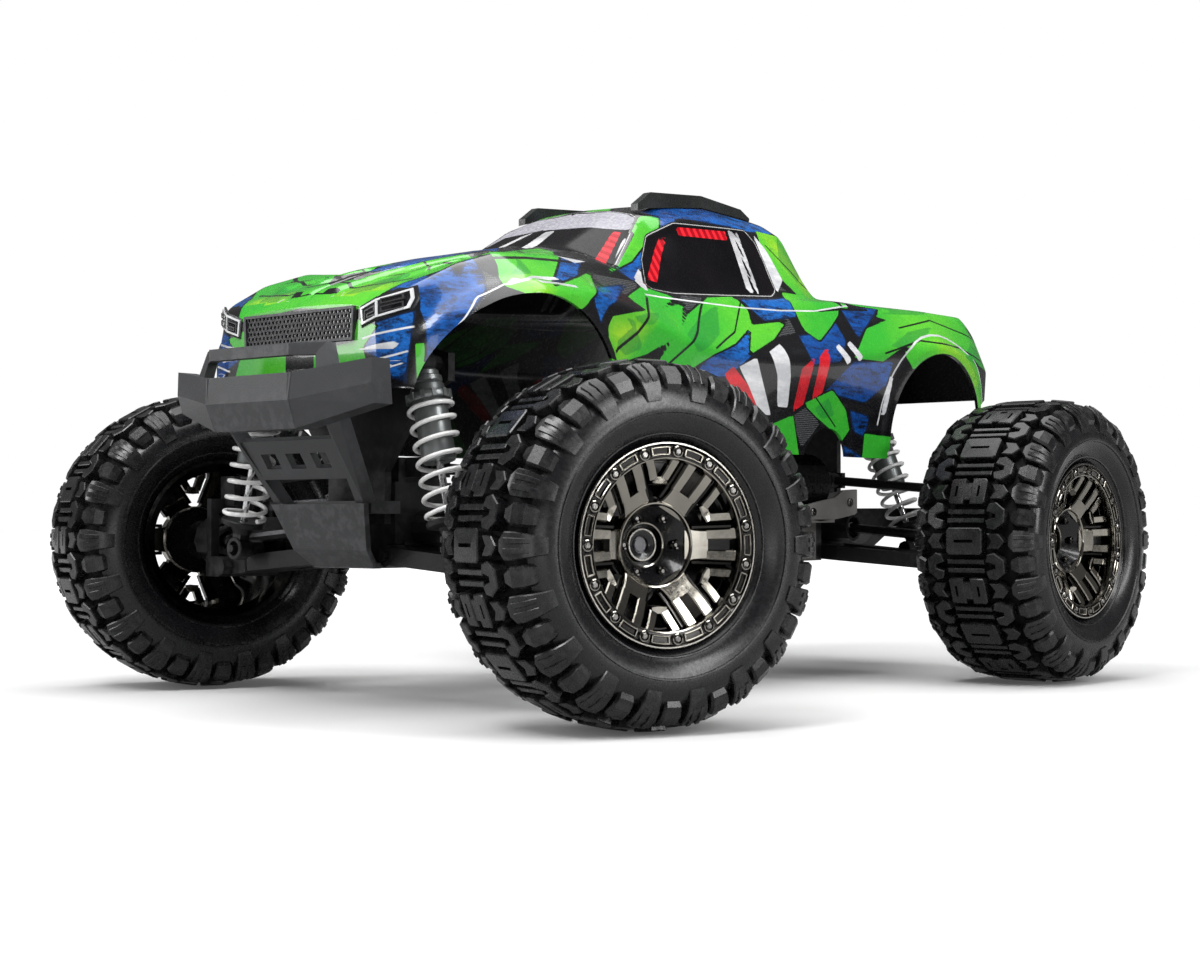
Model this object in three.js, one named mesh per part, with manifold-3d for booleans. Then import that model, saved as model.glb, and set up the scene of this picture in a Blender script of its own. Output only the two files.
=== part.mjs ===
// Radio-controlled monster truck, standing on its wheels with the front wheels turned to its right.
// Millimetres, +Z up, the front towards -Y and the truck's left side towards +X. The origin is on the
// ground, on the centre plane, halfway between the axles.

import * as THREE from "three";
import { ConvexGeometry } from "three/addons/geometries/ConvexGeometry.js";
import { mergeVertices } from "three/addons/utils/BufferGeometryUtils.js";
import Module from "manifold-3d";

const wasm = await Module();
wasm.setup();

// ---------------------------------------------------------------- driving dimensions

const HALF_BASE = 145; // axle to middle of the wheelbase
const HALF_TRACK = 140.5; // tyre centre plane, wheels straight
const STEER_AT_REST = THREE.MathUtils.degToRad(-19);
const GAP = 0.3; // between pieces that sit against each other

const TYRE_R = 67.5;
const TYRE_HALF_WIDTH = 32.2;
const RIM_R = 36.5;
const RIM_HALF_WIDTH = 26.8;
const BARREL_R = 34.1;
const ROUND = 18; // segments of a wheel

// Suspension of one corner, in its own frame: u outboard, v away from the truck's middle, z up.
const ARM_IN = new THREE.Vector3(20, 0, 62);
const ARM_RUN = new THREE.Vector3(74, 0, -6); // inner to outer pivot, shared by arm, link and half shaft
const LINK_IN = new THREE.Vector3(23, 0, 98);
const SHAFT_IN = new THREE.Vector3(33, 0, 73.5);
const KINGPIN_U = SHAFT_IN.x + ARM_RUN.x;
const AXLE_Z = SHAFT_IN.z + ARM_RUN.z;
const ARM_OUT = ARM_IN.clone().add(ARM_RUN);
const LINK_OUT = LINK_IN.clone().add(ARM_RUN);
const SHAFT_OUT = SHAFT_IN.clone().add(ARM_RUN);
const ARM_PIN_R = 1.8;
const ARM_BORE_R = 2.1;
const LINK_PIN_R = 1.6;
const LINK_BORE_R = 1.9;
const SHOCK_V = 27.6; // plane of the shock absorbers
const FRONT_SHOCK = { top: [47, 138], foot: [65, 64.4] };
const REAR_SHOCK = { top: [28, 132], foot: [57, 63] };
const SPRING_R = 9.5;
const WIRE_R = 0.9;

// Steering: two cranks, the link between them and a tie rod to each steering block.
const CRANK_X = 22;
const CRANK_Y = -108;
const STEER_ARM = 20;
const TIE_IN_X = 33;
const TIE_IN_Z = 89;
const TIE_OUT_Z = TIE_IN_Z + ARM_RUN.z;

const FLOOR_Z = 57; // underside of the chassis
const DECK_Z = 59.3; // top of the narrow chassis ends

// ---------------------------------------------------------------- finishes

function finish(colour, roughness, metalness) {
  return new THREE.MeshStandardMaterial({ color: colour, roughness, metalness });
}

const RUBBER = finish(0x1b1b1c, 0.85, 0);
const BLACK_CHROME = finish(0x24252a, 0.22, 1);
const STEEL = finish(0xb9bbbf, 0.3, 1);
const ALUMINIUM = finish(0x8b8e94, 0.35, 1);
const BLACK_NYLON = finish(0x141416, 0.55, 0);
const GREY_NYLON = finish(0x4a4b4e, 0.6, 0);
const WHITE_SPRING = finish(0xe9e9e6, 0.4, 0.1);
const BODY_PAINT = finish(0x3fd23a, 0.25, 0);
const BATTERY_WRAP = finish(0x202a44, 0.5, 0);

// ---------------------------------------------------------------- solids

function volumeOf(points, corners) {
  const [a, b, c] = [new THREE.Vector3(), new THREE.Vector3(), new THREE.Vector3()];
  let volume = 0;
  for (let i = 0; i < corners.length; i += 3) {
    a.fromArray(points, 3 * corners[i]);
    b.fromArray(points, 3 * corners[i + 1]);
    c.fromArray(points, 3 * corners[i + 2]);
    volume += a.dot(b.cross(c)) / 6;
  }
  return volume;
}

// A closed geometry as a solid whose faces point out.
function solidOf(geometry) {
  const bare = new THREE.BufferGeometry();
  bare.setAttribute("position", geometry.getAttribute("position"));
  bare.setIndex(geometry.getIndex());
  const merged = mergeVertices(bare, 1e-4);
  const corners = merged.getIndex().array;
  const kept = [];
  for (let i = 0; i < corners.length; i += 3) {
    const [a, b, c] = corners.slice(i, i + 3);
    if (a !== b && b !== c && c !== a) kept.push(a, b, c);
  }
  const vertProperties = new Float32Array(merged.getAttribute("position").array);
  if (volumeOf(vertProperties, kept) < 0) kept.reverse();
  return new wasm.Manifold(new wasm.Mesh({ numProp: 3, vertProperties, triVerts: new Uint32Array(kept) }));
}

function joined(first, ...rest) {
  return rest.reduce((sum, solid) => sum.add(solid), first);
}

function cut(from, ...tools) {
  return tools.reduce((left, tool) => left.subtract(tool), from);
}

function block([x0, x1], [y0, y1], [z0, z1]) {
  const box = new THREE.BoxGeometry(x1 - x0, y1 - y0, z1 - z0);
  return solidOf(box.translate((x0 + x1) / 2, (y0 + y1) / 2, (z0 + z1) / 2));
}

function bothSides(solid) {
  return solid.add(solid.mirror([1, 0, 0]));
}

function rod(from, to, radius, sides = radius < 6 ? 8 : 12) {
  const a = new THREE.Vector3(...from);
  const b = new THREE.Vector3(...to);
  const along = b.clone().sub(a);
  const turn = new THREE.Quaternion().setFromUnitVectors(
    new THREE.Vector3(0, 1, 0),
    along.clone().normalize(),
  );
  const cylinder = new THREE.CylinderGeometry(radius, radius, along.length(), sides);
  const middle = a.add(b).multiplyScalar(0.5);
  return solidOf(cylinder.applyQuaternion(turn).translate(...middle.toArray()));
}

function ball([x, y, z], radius) {
  return solidOf(new THREE.SphereGeometry(radius, 8, 4).translate(x, y, z));
}

function outline(points) {
  return new THREE.Shape(points.map(([x, y]) => new THREE.Vector2(x, y)));
}

// A plate cut to an outline: [x, y] points for "z", [x, z] points for "y", [y, z] points for "x".
function plate(points, axis, [from, to]) {
  const options = { depth: to - from, bevelEnabled: false };
  const geometry = new THREE.ExtrudeGeometry(outline(points), options);
  if (axis === "z") geometry.translate(0, 0, from);
  if (axis === "y") geometry.rotateX(Math.PI / 2).translate(0, to, 0);
  if (axis === "x") geometry.rotateX(Math.PI / 2).rotateZ(Math.PI / 2).translate(from, 0, 0);
  return solidOf(geometry);
}

function mirrored(points) {
  const left = points.filter(([x]) => x > 0).map(([x, y]) => [-x, y]);
  return [...points, ...left.reverse()];
}

function hull(points) {
  return solidOf(new ConvexGeometry(points.map((point) => new THREE.Vector3(...point))));
}

function sidesOf(points) {
  return points.flatMap(([x, y, z]) => (x === 0 ? [[x, y, z]] : [[x, y, z], [-x, y, z]]));
}

// Turned about the axle: profile points are [radius, distance outboard].
function turned(profile, segments = ROUND) {
  const points = profile.map(([radius, along]) => new THREE.Vector2(radius, along));
  return solidOf(new THREE.LatheGeometry(points, segments).rotateZ(-Math.PI / 2));
}

function closedRing(profile, segments = ROUND) {
  return turned([...profile, profile[0]], segments);
}

function addPart(group, name, solid, material) {
  const { vertProperties, triVerts } = solid.getMesh();
  const geometry = new THREE.BufferGeometry();
  geometry.setAttribute("position", new THREE.BufferAttribute(new Float32Array(vertProperties), 3));
  geometry.setIndex(new THREE.BufferAttribute(new Uint32Array(triVerts), 1));
  const mesh = new THREE.Mesh(geometry, material);
  mesh.name = name;
  group.add(mesh);
  return mesh;
}

// ---------------------------------------------------------------- wheel and tyre

function tyreSolid() {
  const half = [
    [BARREL_R + GAP, 19],
    [RIM_R + 0.7, 24],
    [45, TYRE_HALF_WIDTH],
    [60.7, TYRE_HALF_WIDTH],
    [TYRE_R, 24],
  ];
  const inside = [
    [60, 24],
    [46, 27],
  ];
  const far = half.map(([r, w]) => [r, -w]).reverse();
  const farInside = inside.map(([r, w]) => [r, -w]).reverse();
  return closedRing([...half, ...far, ...farInside, ...inside]);
}

function wheelSolid() {
  const barrel = closedRing([
    [31, -RIM_HALF_WIDTH],
    [RIM_R, -RIM_HALF_WIDTH],
    [BARREL_R, -24.3],
    [BARREL_R, 24.3],
    [RIM_R, 24.3],
    [RIM_R, RIM_HALF_WIDTH],
    [31, RIM_HALF_WIDTH],
  ]);
  const hub = closedRing([
    [2.9, -17],
    [2.9, 1.7],
    [6.5, 1.7],
    [6.5, 8],
    [14, 8],
    [10, -17],
  ], 12);
  const spoke = hull([
    [-1, -4.5, 9], [8, -4.5, 9], [-1, 4.5, 9], [8, 4.5, 9],
    [16, -6, 32.3], [23, -6, 32.3], [16, 6, 32.3], [23, 6, 32.3],
  ]);
  const spokes = [];
  for (let i = 0; i < 6; i += 1) {
    spokes.push(spoke.rotate([60 * i, 0, 0]));
  }
  return cut(joined(barrel, hub, ...spokes), hexagon(12.6, -18, -11.2));
}

function hexagon(acrossFlats, from, to) {
  const radius = acrossFlats / Math.sqrt(3);
  const prism = new THREE.CylinderGeometry(radius, radius, to - from, 6);
  return solidOf(prism.rotateZ(-Math.PI / 2).translate((from + to) / 2, 0, 0));
}

// Axle, drive cup, wheel hexagon and nut. Distances are outboard of the tyre's centre plane.
function stubAxleSolid() {
  const spindle = turned([
    [0, -29],
    [6.5, -29],
    [6.5, -37.5],
    [8, -37.5],
    [8, -27.5],
    [4.5, -27.5],
    [4.5, -17],
    [2.5, -17],
    [2.5, 7],
    [0, 7],
  ], 8);
  return joined(spindle, hexagon(12, -17, -11.5), hexagon(7, 2, 6.5));
}

// ---------------------------------------------------------------- suspension corner

function lowerArmSolid(shock) {
  const length = ARM_RUN.length();
  const web = plate([
    [0, 12.2], [0, 22], [48, 21], [62, 11], [70, 11], [70, -11], [60, -11],
    [20, -20], [0, -22], [0, -12.2], [14, -11], [42, -5], [42, 5], [14, 11],
  ], "z", [-3.5, 3.5]);
  const ends = joined(
    rod([0, 12.2, 0], [0, 22, 0], 4.5),
    rod([0, -22, 0], [0, -12.2, 0], 4.5),
    rod([length, -11, 0], [length, 11, 0], 4.5),
  );
  const bores = joined(
    rod([0, -25, 0], [0, 25, 0], ARM_BORE_R),
    rod([length, -14, 0], [length, 14, 0], ARM_BORE_R),
  );
  const slope = THREE.MathUtils.radToDeg(Math.atan2(-ARM_RUN.z, ARM_RUN.x));
  const arm = cut(joined(web, ends), bores).rotate([0, slope, 0]).translate(ARM_IN.toArray());
  const [u, z] = shock.foot;
  const boss = joined(
    rod([u, 16.5, z], [u, 22, z], 3.6),
    block([u - 3.6, u + 3.6], [16.5, 20.5], [z - 6, z]),
    rod([u, 21, z], [u, SHOCK_V + 4.6, z], LINK_PIN_R),
  );
  return joined(arm, boss);
}

function upperLinkSolid() {
  const bar = rod(LINK_IN.toArray(), LINK_OUT.toArray(), 2.3);
  const eyes = [LINK_IN, LINK_OUT].map(({ x, z }) => rod([x, -3.5, z], [x, 3.5, z], 4));
  const bores = [LINK_IN, LINK_OUT].map(({ x, z }) => rod([x, -5, z], [x, 5, z], LINK_BORE_R));
  return cut(joined(bar, ...eyes), ...bores);
}

function halfShaftSolid() {
  const [inner, outer] = [SHAFT_IN.toArray(), SHAFT_OUT.toArray()];
  return joined(rod(inner, outer, 2.5), ball(inner, 4.2), ball(outer, 4.2));
}

// Ears and pins that take the lower arm and the upper link, shared by both kinds of upright.
function uprightPivots() {
  const { x: armU, z: armZ } = ARM_OUT;
  const { x: linkU, z: linkZ } = LINK_OUT;
  const lower = [[-16, -11.3], [11.3, 16]].map((ear) =>
    joined(rod([armU, ear[0], armZ], [armU, ear[1], armZ], 4.4), block([armU, 102.5], ear, [51.6, 60.4])));
  const upper = [[-8, -4.5], [4.5, 8]].map((ear) => block([93, 102.5], ear, [83, 96]));
  return joined(
    ...lower,
    ...upper,
    rod([armU, -16, armZ], [armU, 16, armZ], ARM_PIN_R),
    rod([linkU, -8, linkZ], [linkU, 8, linkZ], LINK_PIN_R),
  );
}

function casterBlockSolid() {
  const frame = joined(
    block([99.5, 102.5], [-16, 16], [51.6, 56]),
    block([99.5, 102.5], [11, 15.5], [51.6, 86]),
    block([99.5, 102.5], [-8, 15.5], [80, 86]),
    block([102, 112], [-6, 6], [80, 84]),
    block([102, 112], [-6, 6], [51.6, 55]),
  );
  const kingpinBore = rod([KINGPIN_U, 0, 45], [KINGPIN_U, 0, 90], ARM_BORE_R);
  return cut(joined(frame, uprightPivots()), kingpinBore);
}

function bearingBore() {
  return joined(
    rod([98, 0, AXLE_Z], [113.4, 0, AXLE_Z], 8.5),
    rod([110, 0, AXLE_Z], [125, 0, AXLE_Z], 4.9),
  );
}

function steeringBlockSolid() {
  const housing = cut(rod([104.5, 0, AXLE_Z], [122, 0, AXLE_Z], 11), bearingBore());
  return joined(
    housing,
    rod([KINGPIN_U, 0, 51.8], [KINGPIN_U, 0, 57.5], ARM_PIN_R),
    rod([KINGPIN_U, 0, 77.5], [KINGPIN_U, 0, 83.7], ARM_PIN_R),
    rod([KINGPIN_U, 0, 55.4], [KINGPIN_U, 0, 57.5], 3.4),
    rod([KINGPIN_U, 0, 77.5], [KINGPIN_U, 0, 79.6], 3.4),
    block([103.5, 110.5], [-24, -8.8], [71, 78]),
    rod([KINGPIN_U, -STEER_ARM, 77], [KINGPIN_U, -STEER_ARM, TIE_OUT_Z + 3], 1.5),
  );
}

function hubCarrierSolid() {
  const frame = joined(
    rod([99.5, 0, AXLE_Z], [122, 0, AXLE_Z], 11),
    block([99.5, 102.5], [-12, 12], [55, 86]),
    block([99.5, 102.5], [-16, 16], [51.6, 60]),
    uprightPivots(),
  );
  return cut(frame, bearingBore());
}

// ---------------------------------------------------------------- shock absorbers

// Solids built round the vertical axis, top pivot at the origin, laid along the shock's line.
function alongShock(solid, shock) {
  const [du, dz] = [shock.foot[0] - shock.top[0], shock.foot[1] - shock.top[1]];
  const lean = THREE.MathUtils.radToDeg(Math.atan2(du, -dz));
  return solid.rotate([0, -lean, 0]).translate([shock.top[0], SHOCK_V, shock.top[1]]);
}

function shockLength(shock) {
  return Math.hypot(shock.foot[0] - shock.top[0], shock.foot[1] - shock.top[1]);
}

function downTurned(profile, segments) {
  return turned(profile, segments).rotate([0, 90, 0]);
}

const COLLAR_END = 16; // below the top pivot

function shockBodySolid(shock) {
  const cylinder = downTurned([
    [0, 4], [5.5, 4], [6.8, 7], [6.8, 13], [9.2, 13], [9.2, COLLAR_END],
    [6.8, COLLAR_END], [6.8, 40], [2.2, 40], [2.2, 9], [0, 9],
  ], 10);
  const eye = cut(rod([0, -3, 0], [0, 3, 0], 5), rod([0, -4, 0], [0, 4, 0], LINK_BORE_R));
  return alongShock(joined(cylinder, eye), shock);
}

function shockShaftSolid(shock) {
  const length = shockLength(shock);
  const shaft = downTurned([
    [0, 20], [1.6, 20], [1.6, length - 12.5], [9.2, length - 12.5], [9.2, length - 9.8],
    [3, length - 9.8], [3, length - 4], [0, length - 4],
  ], 10);
  const eye = cut(
    rod([0, -3, -length], [0, 3, -length], 4.8),
    rod([0, -4, -length], [0, 4, -length], 3.1),
  );
  return alongShock(joined(shaft, eye), shock);
}

class Coil extends THREE.Curve {
  constructor(from, to, turns) {
    super();
    Object.assign(this, { from, to, turns });
  }

  getPoint(t, target = new THREE.Vector3()) {
    const angle = 2 * Math.PI * this.turns * t;
    const radius = SPRING_R - WIRE_R;
    const z = this.from + (this.to - this.from) * t;
    return target.set(radius * Math.cos(angle), radius * Math.sin(angle), z);
  }
}

function springSolid(shock) {
  const turns = 6;
  const foot = shockLength(shock) - 12.5 - GAP - WIRE_R;
  const coil = new Coil(-COLLAR_END - GAP - WIRE_R, -foot, turns);
  const wire = new THREE.Shape().absarc(0, 0, WIRE_R, 0, 2 * Math.PI);
  const options = { steps: turns * 7, extrudePath: coil, curveSegments: 2, bevelEnabled: false };
  return alongShock(solidOf(new THREE.ExtrudeGeometry(wire, options)), shock);
}

// ---------------------------------------------------------------- chassis, gearboxes, towers

function chassisTubSolid() {
  const plan = [[40, -96], [34, -120], [-34, -120], [-40, -96], [-40, 96], [-34, 120], [34, 120], [40, 96]];
  const inside = plan.map(([x, y]) => [x - 2.5 * Math.sign(x), y - 2.5 * Math.sign(y)]);
  const pan = cut(plate(plan, "z", [FLOOR_Z, 79]), plate(inside, "z", [FLOOR_Z + 3, 80]));
  const ends = block([-14, 14], [-149.7, 190], [FLOOR_Z, DECK_Z]);
  const tail = plate([[184, 57], [190, 57], [216, 70], [216, 74], [209, 74], [184, 59.3]], "x", [-12, 12]);
  const bar = hull(sidesOf([
    [24, 214, 69], [24, 226.6, 71], [24, 226.6, 82], [24, 214, 84],
    [46, 208, 73], [46, 218, 75], [46, 218, 83], [46, 208, 84],
  ]));
  const idlerPost = rod([-CRANK_X, CRANK_Y, FLOOR_Z + 1], [-CRANK_X, CRANK_Y, 83], 2.5);
  return joined(pan, ends, tail, bar, idlerPost);
}

// In the frame of the corner on its side; both sides and both gearboxes share it.
function gearboxSolid() {
  const { x: armU, z: armZ } = ARM_IN;
  const { x: linkU, z: linkZ } = LINK_IN;
  const casing = joined(
    block([-19, 19], [-16, 15.7], [67, 92]),
    block([-14.5, 14.5], [-16, 15.7], [DECK_Z + GAP, 68]),
    block([-17, 17], [-12, 12], [90, 102]),
  );
  const cup = cut(
    rod([15, 0, SHAFT_IN.z], [37, 0, SHAFT_IN.z], 7, 10),
    rod([27.5, 0, SHAFT_IN.z], [38, 0, SHAFT_IN.z], 5.5, 10),
  );
  const side = joined(
    rod([armU, -11.5, armZ], [armU, 11.5, armZ], 4.6),
    block([12, armU], [-11.5, 11.5], [armZ - 1, 68]),
    rod([armU, -24, armZ], [armU, 24, armZ], ARM_PIN_R),
    cup,
    block([15, linkU + 3.5], [-8, -5], [linkZ - 4, linkZ + 4]),
    block([15, linkU + 3.5], [5, 8], [linkZ - 4, linkZ + 4]),
    rod([linkU, -8, linkZ], [linkU, 8, linkZ], LINK_PIN_R),
  );
  return joined(casing, bothSides(side));
}

function towerSolid(shock, face, postX, postTop) {
  const [u, z] = shock.top;
  const slab = plate(mirrored(face), "y", [16, 19.6]);
  const pin = rod([u, 18, z], [u, SHOCK_V + 4.6, z], LINK_PIN_R);
  const shoulder = rod([u, 18, z], [u, SHOCK_V - 3 - GAP, z], 3.4);
  const post = rod([postX, 17.8, z - 6], [postX, 17.8, postTop], 3);
  return joined(slab, bothSides(joined(pin, shoulder, post)));
}

const FRONT_TOWER_FACE = [[17, 75], [17, 96], [38, 126], [53, 131], [53, 142], [36, 146]];
const REAR_TOWER_FACE = [[16, 75], [16, 119], [35, 128], [35, 138], [20, 142]];

// ---------------------------------------------------------------- bumper and skid plate

const STRUT_LEAN = 33; // degrees from upright

function bumperSolid() {
  const back = 9;
  const middle = hull(sidesOf([
    [25.6, -221.3, 132.3], [24.8, -222, 121.8], [24.4, -217.6, 111.1],
    [25.6, -221.3 + back, 132.3], [24.4, -217.6 + back, 111.1],
  ]));
  const wing = hull([
    [24, -221.6, 132.1], [24, -222, 121.8], [24, -217.7, 111.1],
    [24, -221.6 + back, 132.1], [24, -217.7 + back, 111.1],
    [58.4, -209.9, 137], [58.4, -210.2, 127.5], [58, -208, 120],
    [58.4, -209.9 + back, 137], [58, -208 + back, 120],
  ]);
  const strut = hull([
    [22.5, -185, 83.1], [27, -185, 83.1], [22.5, -178, 83.1], [27, -178, 83.1],
    [30, -209, 116], [35, -206, 117], [30, -200, 116], [35, -200, 117],
  ]);
  const web = plate(mirrored([[25, 16], [30, 34]]), "y", [-1.5, 1.5]);
  const windows = [-15, 0, 15].map((x) => block([x - 4.5, x + 4.5], [-5, 5], [21, 28]));
  const crossPlate = cut(web, ...windows).rotate([STRUT_LEAN, 0, 0]).translate([0, -182, 80]);
  const foot = block([-27, 27], [-181, -165.4], [79, 84]);
  return joined(middle, bothSides(joined(wing, strut)), crossPlate, foot, bumperLoop());
}

function bumperLoop() {
  const middle = block([-24, 24], [-221, -216.5], [139, 143.6]);
  const arm = hull([
    [23, -221, 139], [23, -216.5, 139], [23, -221, 143.6], [23, -216.5, 143.6],
    [36, -212.4, 139], [36, -207.9, 139], [36, -212.4, 143.9], [36, -207.9, 143.9],
  ]);
  const leg = hull([
    [31.5, -214, 143.9], [31.5, -209.5, 143.9], [36, -212.4, 143.9], [36, -207.9, 143.9],
    [34, -216, 132], [34, -211, 132], [40, -213.6, 134], [40, -209, 134],
  ]);
  return joined(middle, bothSides(joined(arm, leg)));
}

function skidPlateSolid() {
  const face = hull(sidesOf([
    [28, -186, 82.8], [28, -183.5, 82.8], [22, -179, 64.4], [22, -176.5, 64.4],
  ]));
  const toe = hull(sidesOf([
    [22, -179, 64.4], [22, -176.5, 64.4], [18, -171, 57], [18, -169.5, 59.3],
  ]));
  return joined(face, toe, block([-18, 18], [-171.5, -167.5], [FLOOR_Z, DECK_Z]),
    block([-14, 14], [-168, -150], [FLOOR_Z, DECK_Z]));
}

// ---------------------------------------------------------------- steering linkage

// From a crank's pivot to its ball, as the wheels stand.
function crankReach() {
  return new THREE.Vector2(0, STEER_ARM).rotateAround(new THREE.Vector2(), STEER_AT_REST);
}

function crankSolid(pivotX) {
  const reach = crankReach();
  const [x, y] = [pivotX + reach.x, CRANK_Y + reach.y];
  const across = new THREE.Vector2(reach.y, -reach.x).setLength(3);
  const arm = plate([
    [pivotX + across.x, CRANK_Y + across.y],
    [x + across.x, y + across.y],
    [x - across.x, y - across.y],
    [pivotX - across.x, CRANK_Y - across.y],
  ], "z", [78.6, 81]);
  const hub = rod([pivotX, CRANK_Y, 78.6], [pivotX, CRANK_Y, 84], 5);
  const bore = rod([pivotX, CRANK_Y, 78], [pivotX, CRANK_Y, 83.3], 2.9);
  const tip = joined(rod([x, y, 78.6], [x, y, 81], 3.2), rod([x, y, 80], [x, y, 86.5], LINK_PIN_R));
  return cut(joined(arm, hub, tip), bore);
}

function dragLinkSolid() {
  const { x: shiftX, y: shiftY } = crankReach();
  const bar = block([-TIE_IN_X - 3.5, TIE_IN_X + 3.5], [-3.5, 3.5], [82, 85]);
  const side = rod([TIE_IN_X, 0, 84], [TIE_IN_X, 0, TIE_IN_Z + 3], 1.5);
  const hole = rod([CRANK_X, 0, 80], [CRANK_X, 0, 90], 1.9);
  return cut(joined(bar, bothSides(side)), bothSides(hole)).translate([shiftX, CRANK_Y + shiftY, 0]);
}

function tieRodSolid(side) {
  const { x: shiftX, y: shiftY } = crankReach();
  const inner = [side * TIE_IN_X + shiftX, CRANK_Y + shiftY, TIE_IN_Z];
  const outer = [side * KINGPIN_U + shiftX, -HALF_BASE + shiftY, TIE_OUT_Z];
  const eyes = [inner, outer].map(([x, y, z]) => rod([x, y, z - 2], [x, y, z + 2], 4.5));
  const bores = [inner, outer].map(([x, y, z]) => rod([x, y, z - 4], [x, y, z + 4], 2.6));
  return cut(joined(rod(inner, outer, 1.7, 8), ...eyes), ...bores);
}

function servoSolid() {
  return joined(
    block([12, 31], [-116, -76], [FLOOR_Z + 3 + GAP, 78]),
    rod([CRANK_X, CRANK_Y, 77], [CRANK_X, CRANK_Y, 82.8], 2.5),
  );
}

// ---------------------------------------------------------------- motor and battery

function motorSolid() {
  const can = rod([41, 46, 95], [41, 96, 95], 15, 20);
  const shaft = rod([41, 95, 95], [41, 108, 95], 2.5);
  return joined(can, shaft, rod([41, 44, 95], [41, 47, 95], 6));
}

function batterySolid() {
  return block([-36, 10], [-60, 78], [FLOOR_Z + 3 + GAP, 85]);
}

// ---------------------------------------------------------------- body shell

const WALL = 2;

// Cross-sections of the hood, sides and bed: y, then the height on the centre line and the points
// [x, z] of the inner edge, the shoulder, the widest line and the sill.
const SECTIONS = [
  { y: -195, crown: 161, edges: [[30, 160], [44, 157], [46, 144], [46, 127]] },
  { y: -190, crown: 165, edges: [[34, 164.5], [54, 163], [58, 146], [58, 126]] },
  { y: -184, crown: 168, edges: [[36, 168], [56, 167], [64, 146], [62, 125]] },
  { y: -165, crown: 175, edges: [[38, 175], [58, 177], [77, 158], [77, 124]] },
  { y: -143, crown: 181, edges: [[38, 181], [58, 184], [84, 166], [84, 118]] },
  { y: -110, crown: 189.5, edges: [[40, 188], [58, 186], [84, 168], [83, 107]] },
  { y: -71, crown: 197, edges: [[46, 193], [61, 184], [82, 160], [80, 107]] },
  { y: -25, crown: 197, edges: [[50, 191], [66, 178], [84, 150], [80, 107]] },
  { y: 40, crown: 195, edges: [[52, 188], [69, 180], [86, 150], [80, 107]] },
  { y: 78, crown: 186, edges: [[52, 184], [72, 181], [86, 155], [80, 107]] },
  { y: 104, crown: 182, edges: [[60, 182], [75, 182], [87, 160], [82, 107]] },
  { y: 148, crown: 183, edges: [[62, 183], [76, 183], [89, 164], [86, 118]] },
  { y: 186, crown: 183, edges: [[62, 183], [76, 183], [87, 158], [85, 134]] },
  { y: 200, crown: 176, edges: [[60, 176], [74, 176], [83, 155], [82, 140]] },
];

const CAB = [
  [0, -80, 196], [58, -71, 184], [64, -52, 176], [68, 0, 176], [68, 40, 178], [60, 74, 183],
  [39, -30, 215.5], [0, -30, 219], [46, -22, 212], [0, -12, 222.5], [33, -12, 221],
  [0, 17, 226], [34, 17, 224.5], [47, 17, 216], [0, 62, 222], [38, 62, 220], [46, 68, 214], [0, 70, 219],
];

const ROOF_FROM = 200; // cab points above this lie on the roof

function loft(sections) {
  const rings = sections.map(({ y, crown, edges }) => {
    const left = edges.map(([x, z]) => [x, y, z]);
    const right = edges.map(([x, z]) => [-x, y, z]).reverse();
    return [[0, y, crown], ...left, ...right];
  });
  const count = rings[0].length;
  const corners = [];
  for (let i = 0; i + 1 < rings.length; i += 1) {
    for (let j = 0; j < count; j += 1) {
      const k = (j + 1) % count;
      corners.push(rings[i][j], rings[i][k], rings[i + 1][k]);
      corners.push(rings[i][j], rings[i + 1][k], rings[i + 1][j]);
    }
  }
  const last = rings.length - 1;
  for (let j = 1; j + 1 < count; j += 1) {
    corners.push(rings[0][0], rings[0][j + 1], rings[0][j]);
    corners.push(rings[last][0], rings[last][j], rings[last][j + 1]);
  }
  const geometry = new THREE.BufferGeometry();
  geometry.setAttribute("position", new THREE.Float32BufferAttribute(corners.flat(), 3));
  return solidOf(geometry);
}

function insideSections() {
  return SECTIONS.map(({ y, crown, edges }, i) => {
    const sill = edges.length - 1;
    const inner = edges.map(([x, z], j) => [x - WALL, j === sill ? z - 20 : z - WALL * (j < 2 ? 1 : 0.3)]);
    const end = i === 0 ? WALL : i === SECTIONS.length - 1 ? -WALL : 0;
    return { y: y + end, crown: crown - WALL, edges: inner };
  });
}

function insideCab() {
  return CAB.map(([x, y, z]) => {
    const drop = z > ROOF_FROM ? WALL : 0;
    return [x - WALL * Math.sign(x), y - WALL * Math.sign(y), z - drop];
  });
}

function wheelArch([y, z], radius) {
  const bow = rod([50, y, z], [100, y, z], radius, 24);
  return joined(bow, block([50, 100], [y - radius, y + radius], [90, z]));
}

function outerBody() {
  const bed = block([-60, 60], [86, 184], [172, 200]);
  return cut(joined(loft(SECTIONS), hull(sidesOf(CAB))), bed);
}

function bodyShellSolid() {
  const bedFloor = block([-60 - WALL, 60 + WALL], [86 - WALL, 184 + WALL], [172 - WALL, 200]);
  const inside = joined(cut(loft(insideSections()), bedFloor), hull(sidesOf(insideCab())));
  const arches = joined(wheelArch([-143, 118], 47), wheelArch([148, 118], 42));
  const stepCutOut = rod([60, 56, 102], [100, 56, 102], 18, 16);
  return cut(outerBody(), inside, bothSides(joined(arches, stepCutOut)));
}

function roofSkidSolid(side) {
  const profile = [[-29, 212], [-29, 219.4], [-20, 225.6], [17, 228.6], [48, 226], [55, 222.5], [55, 212]];
  const rail = plate(profile, "x", [32.6, 36.8]);
  const cleared = cut(rail, outerBody().translate([0, 0, GAP]));
  return side > 0 ? cleared : cleared.mirror([1, 0, 0]);
}

// ---------------------------------------------------------------- assembly

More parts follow.
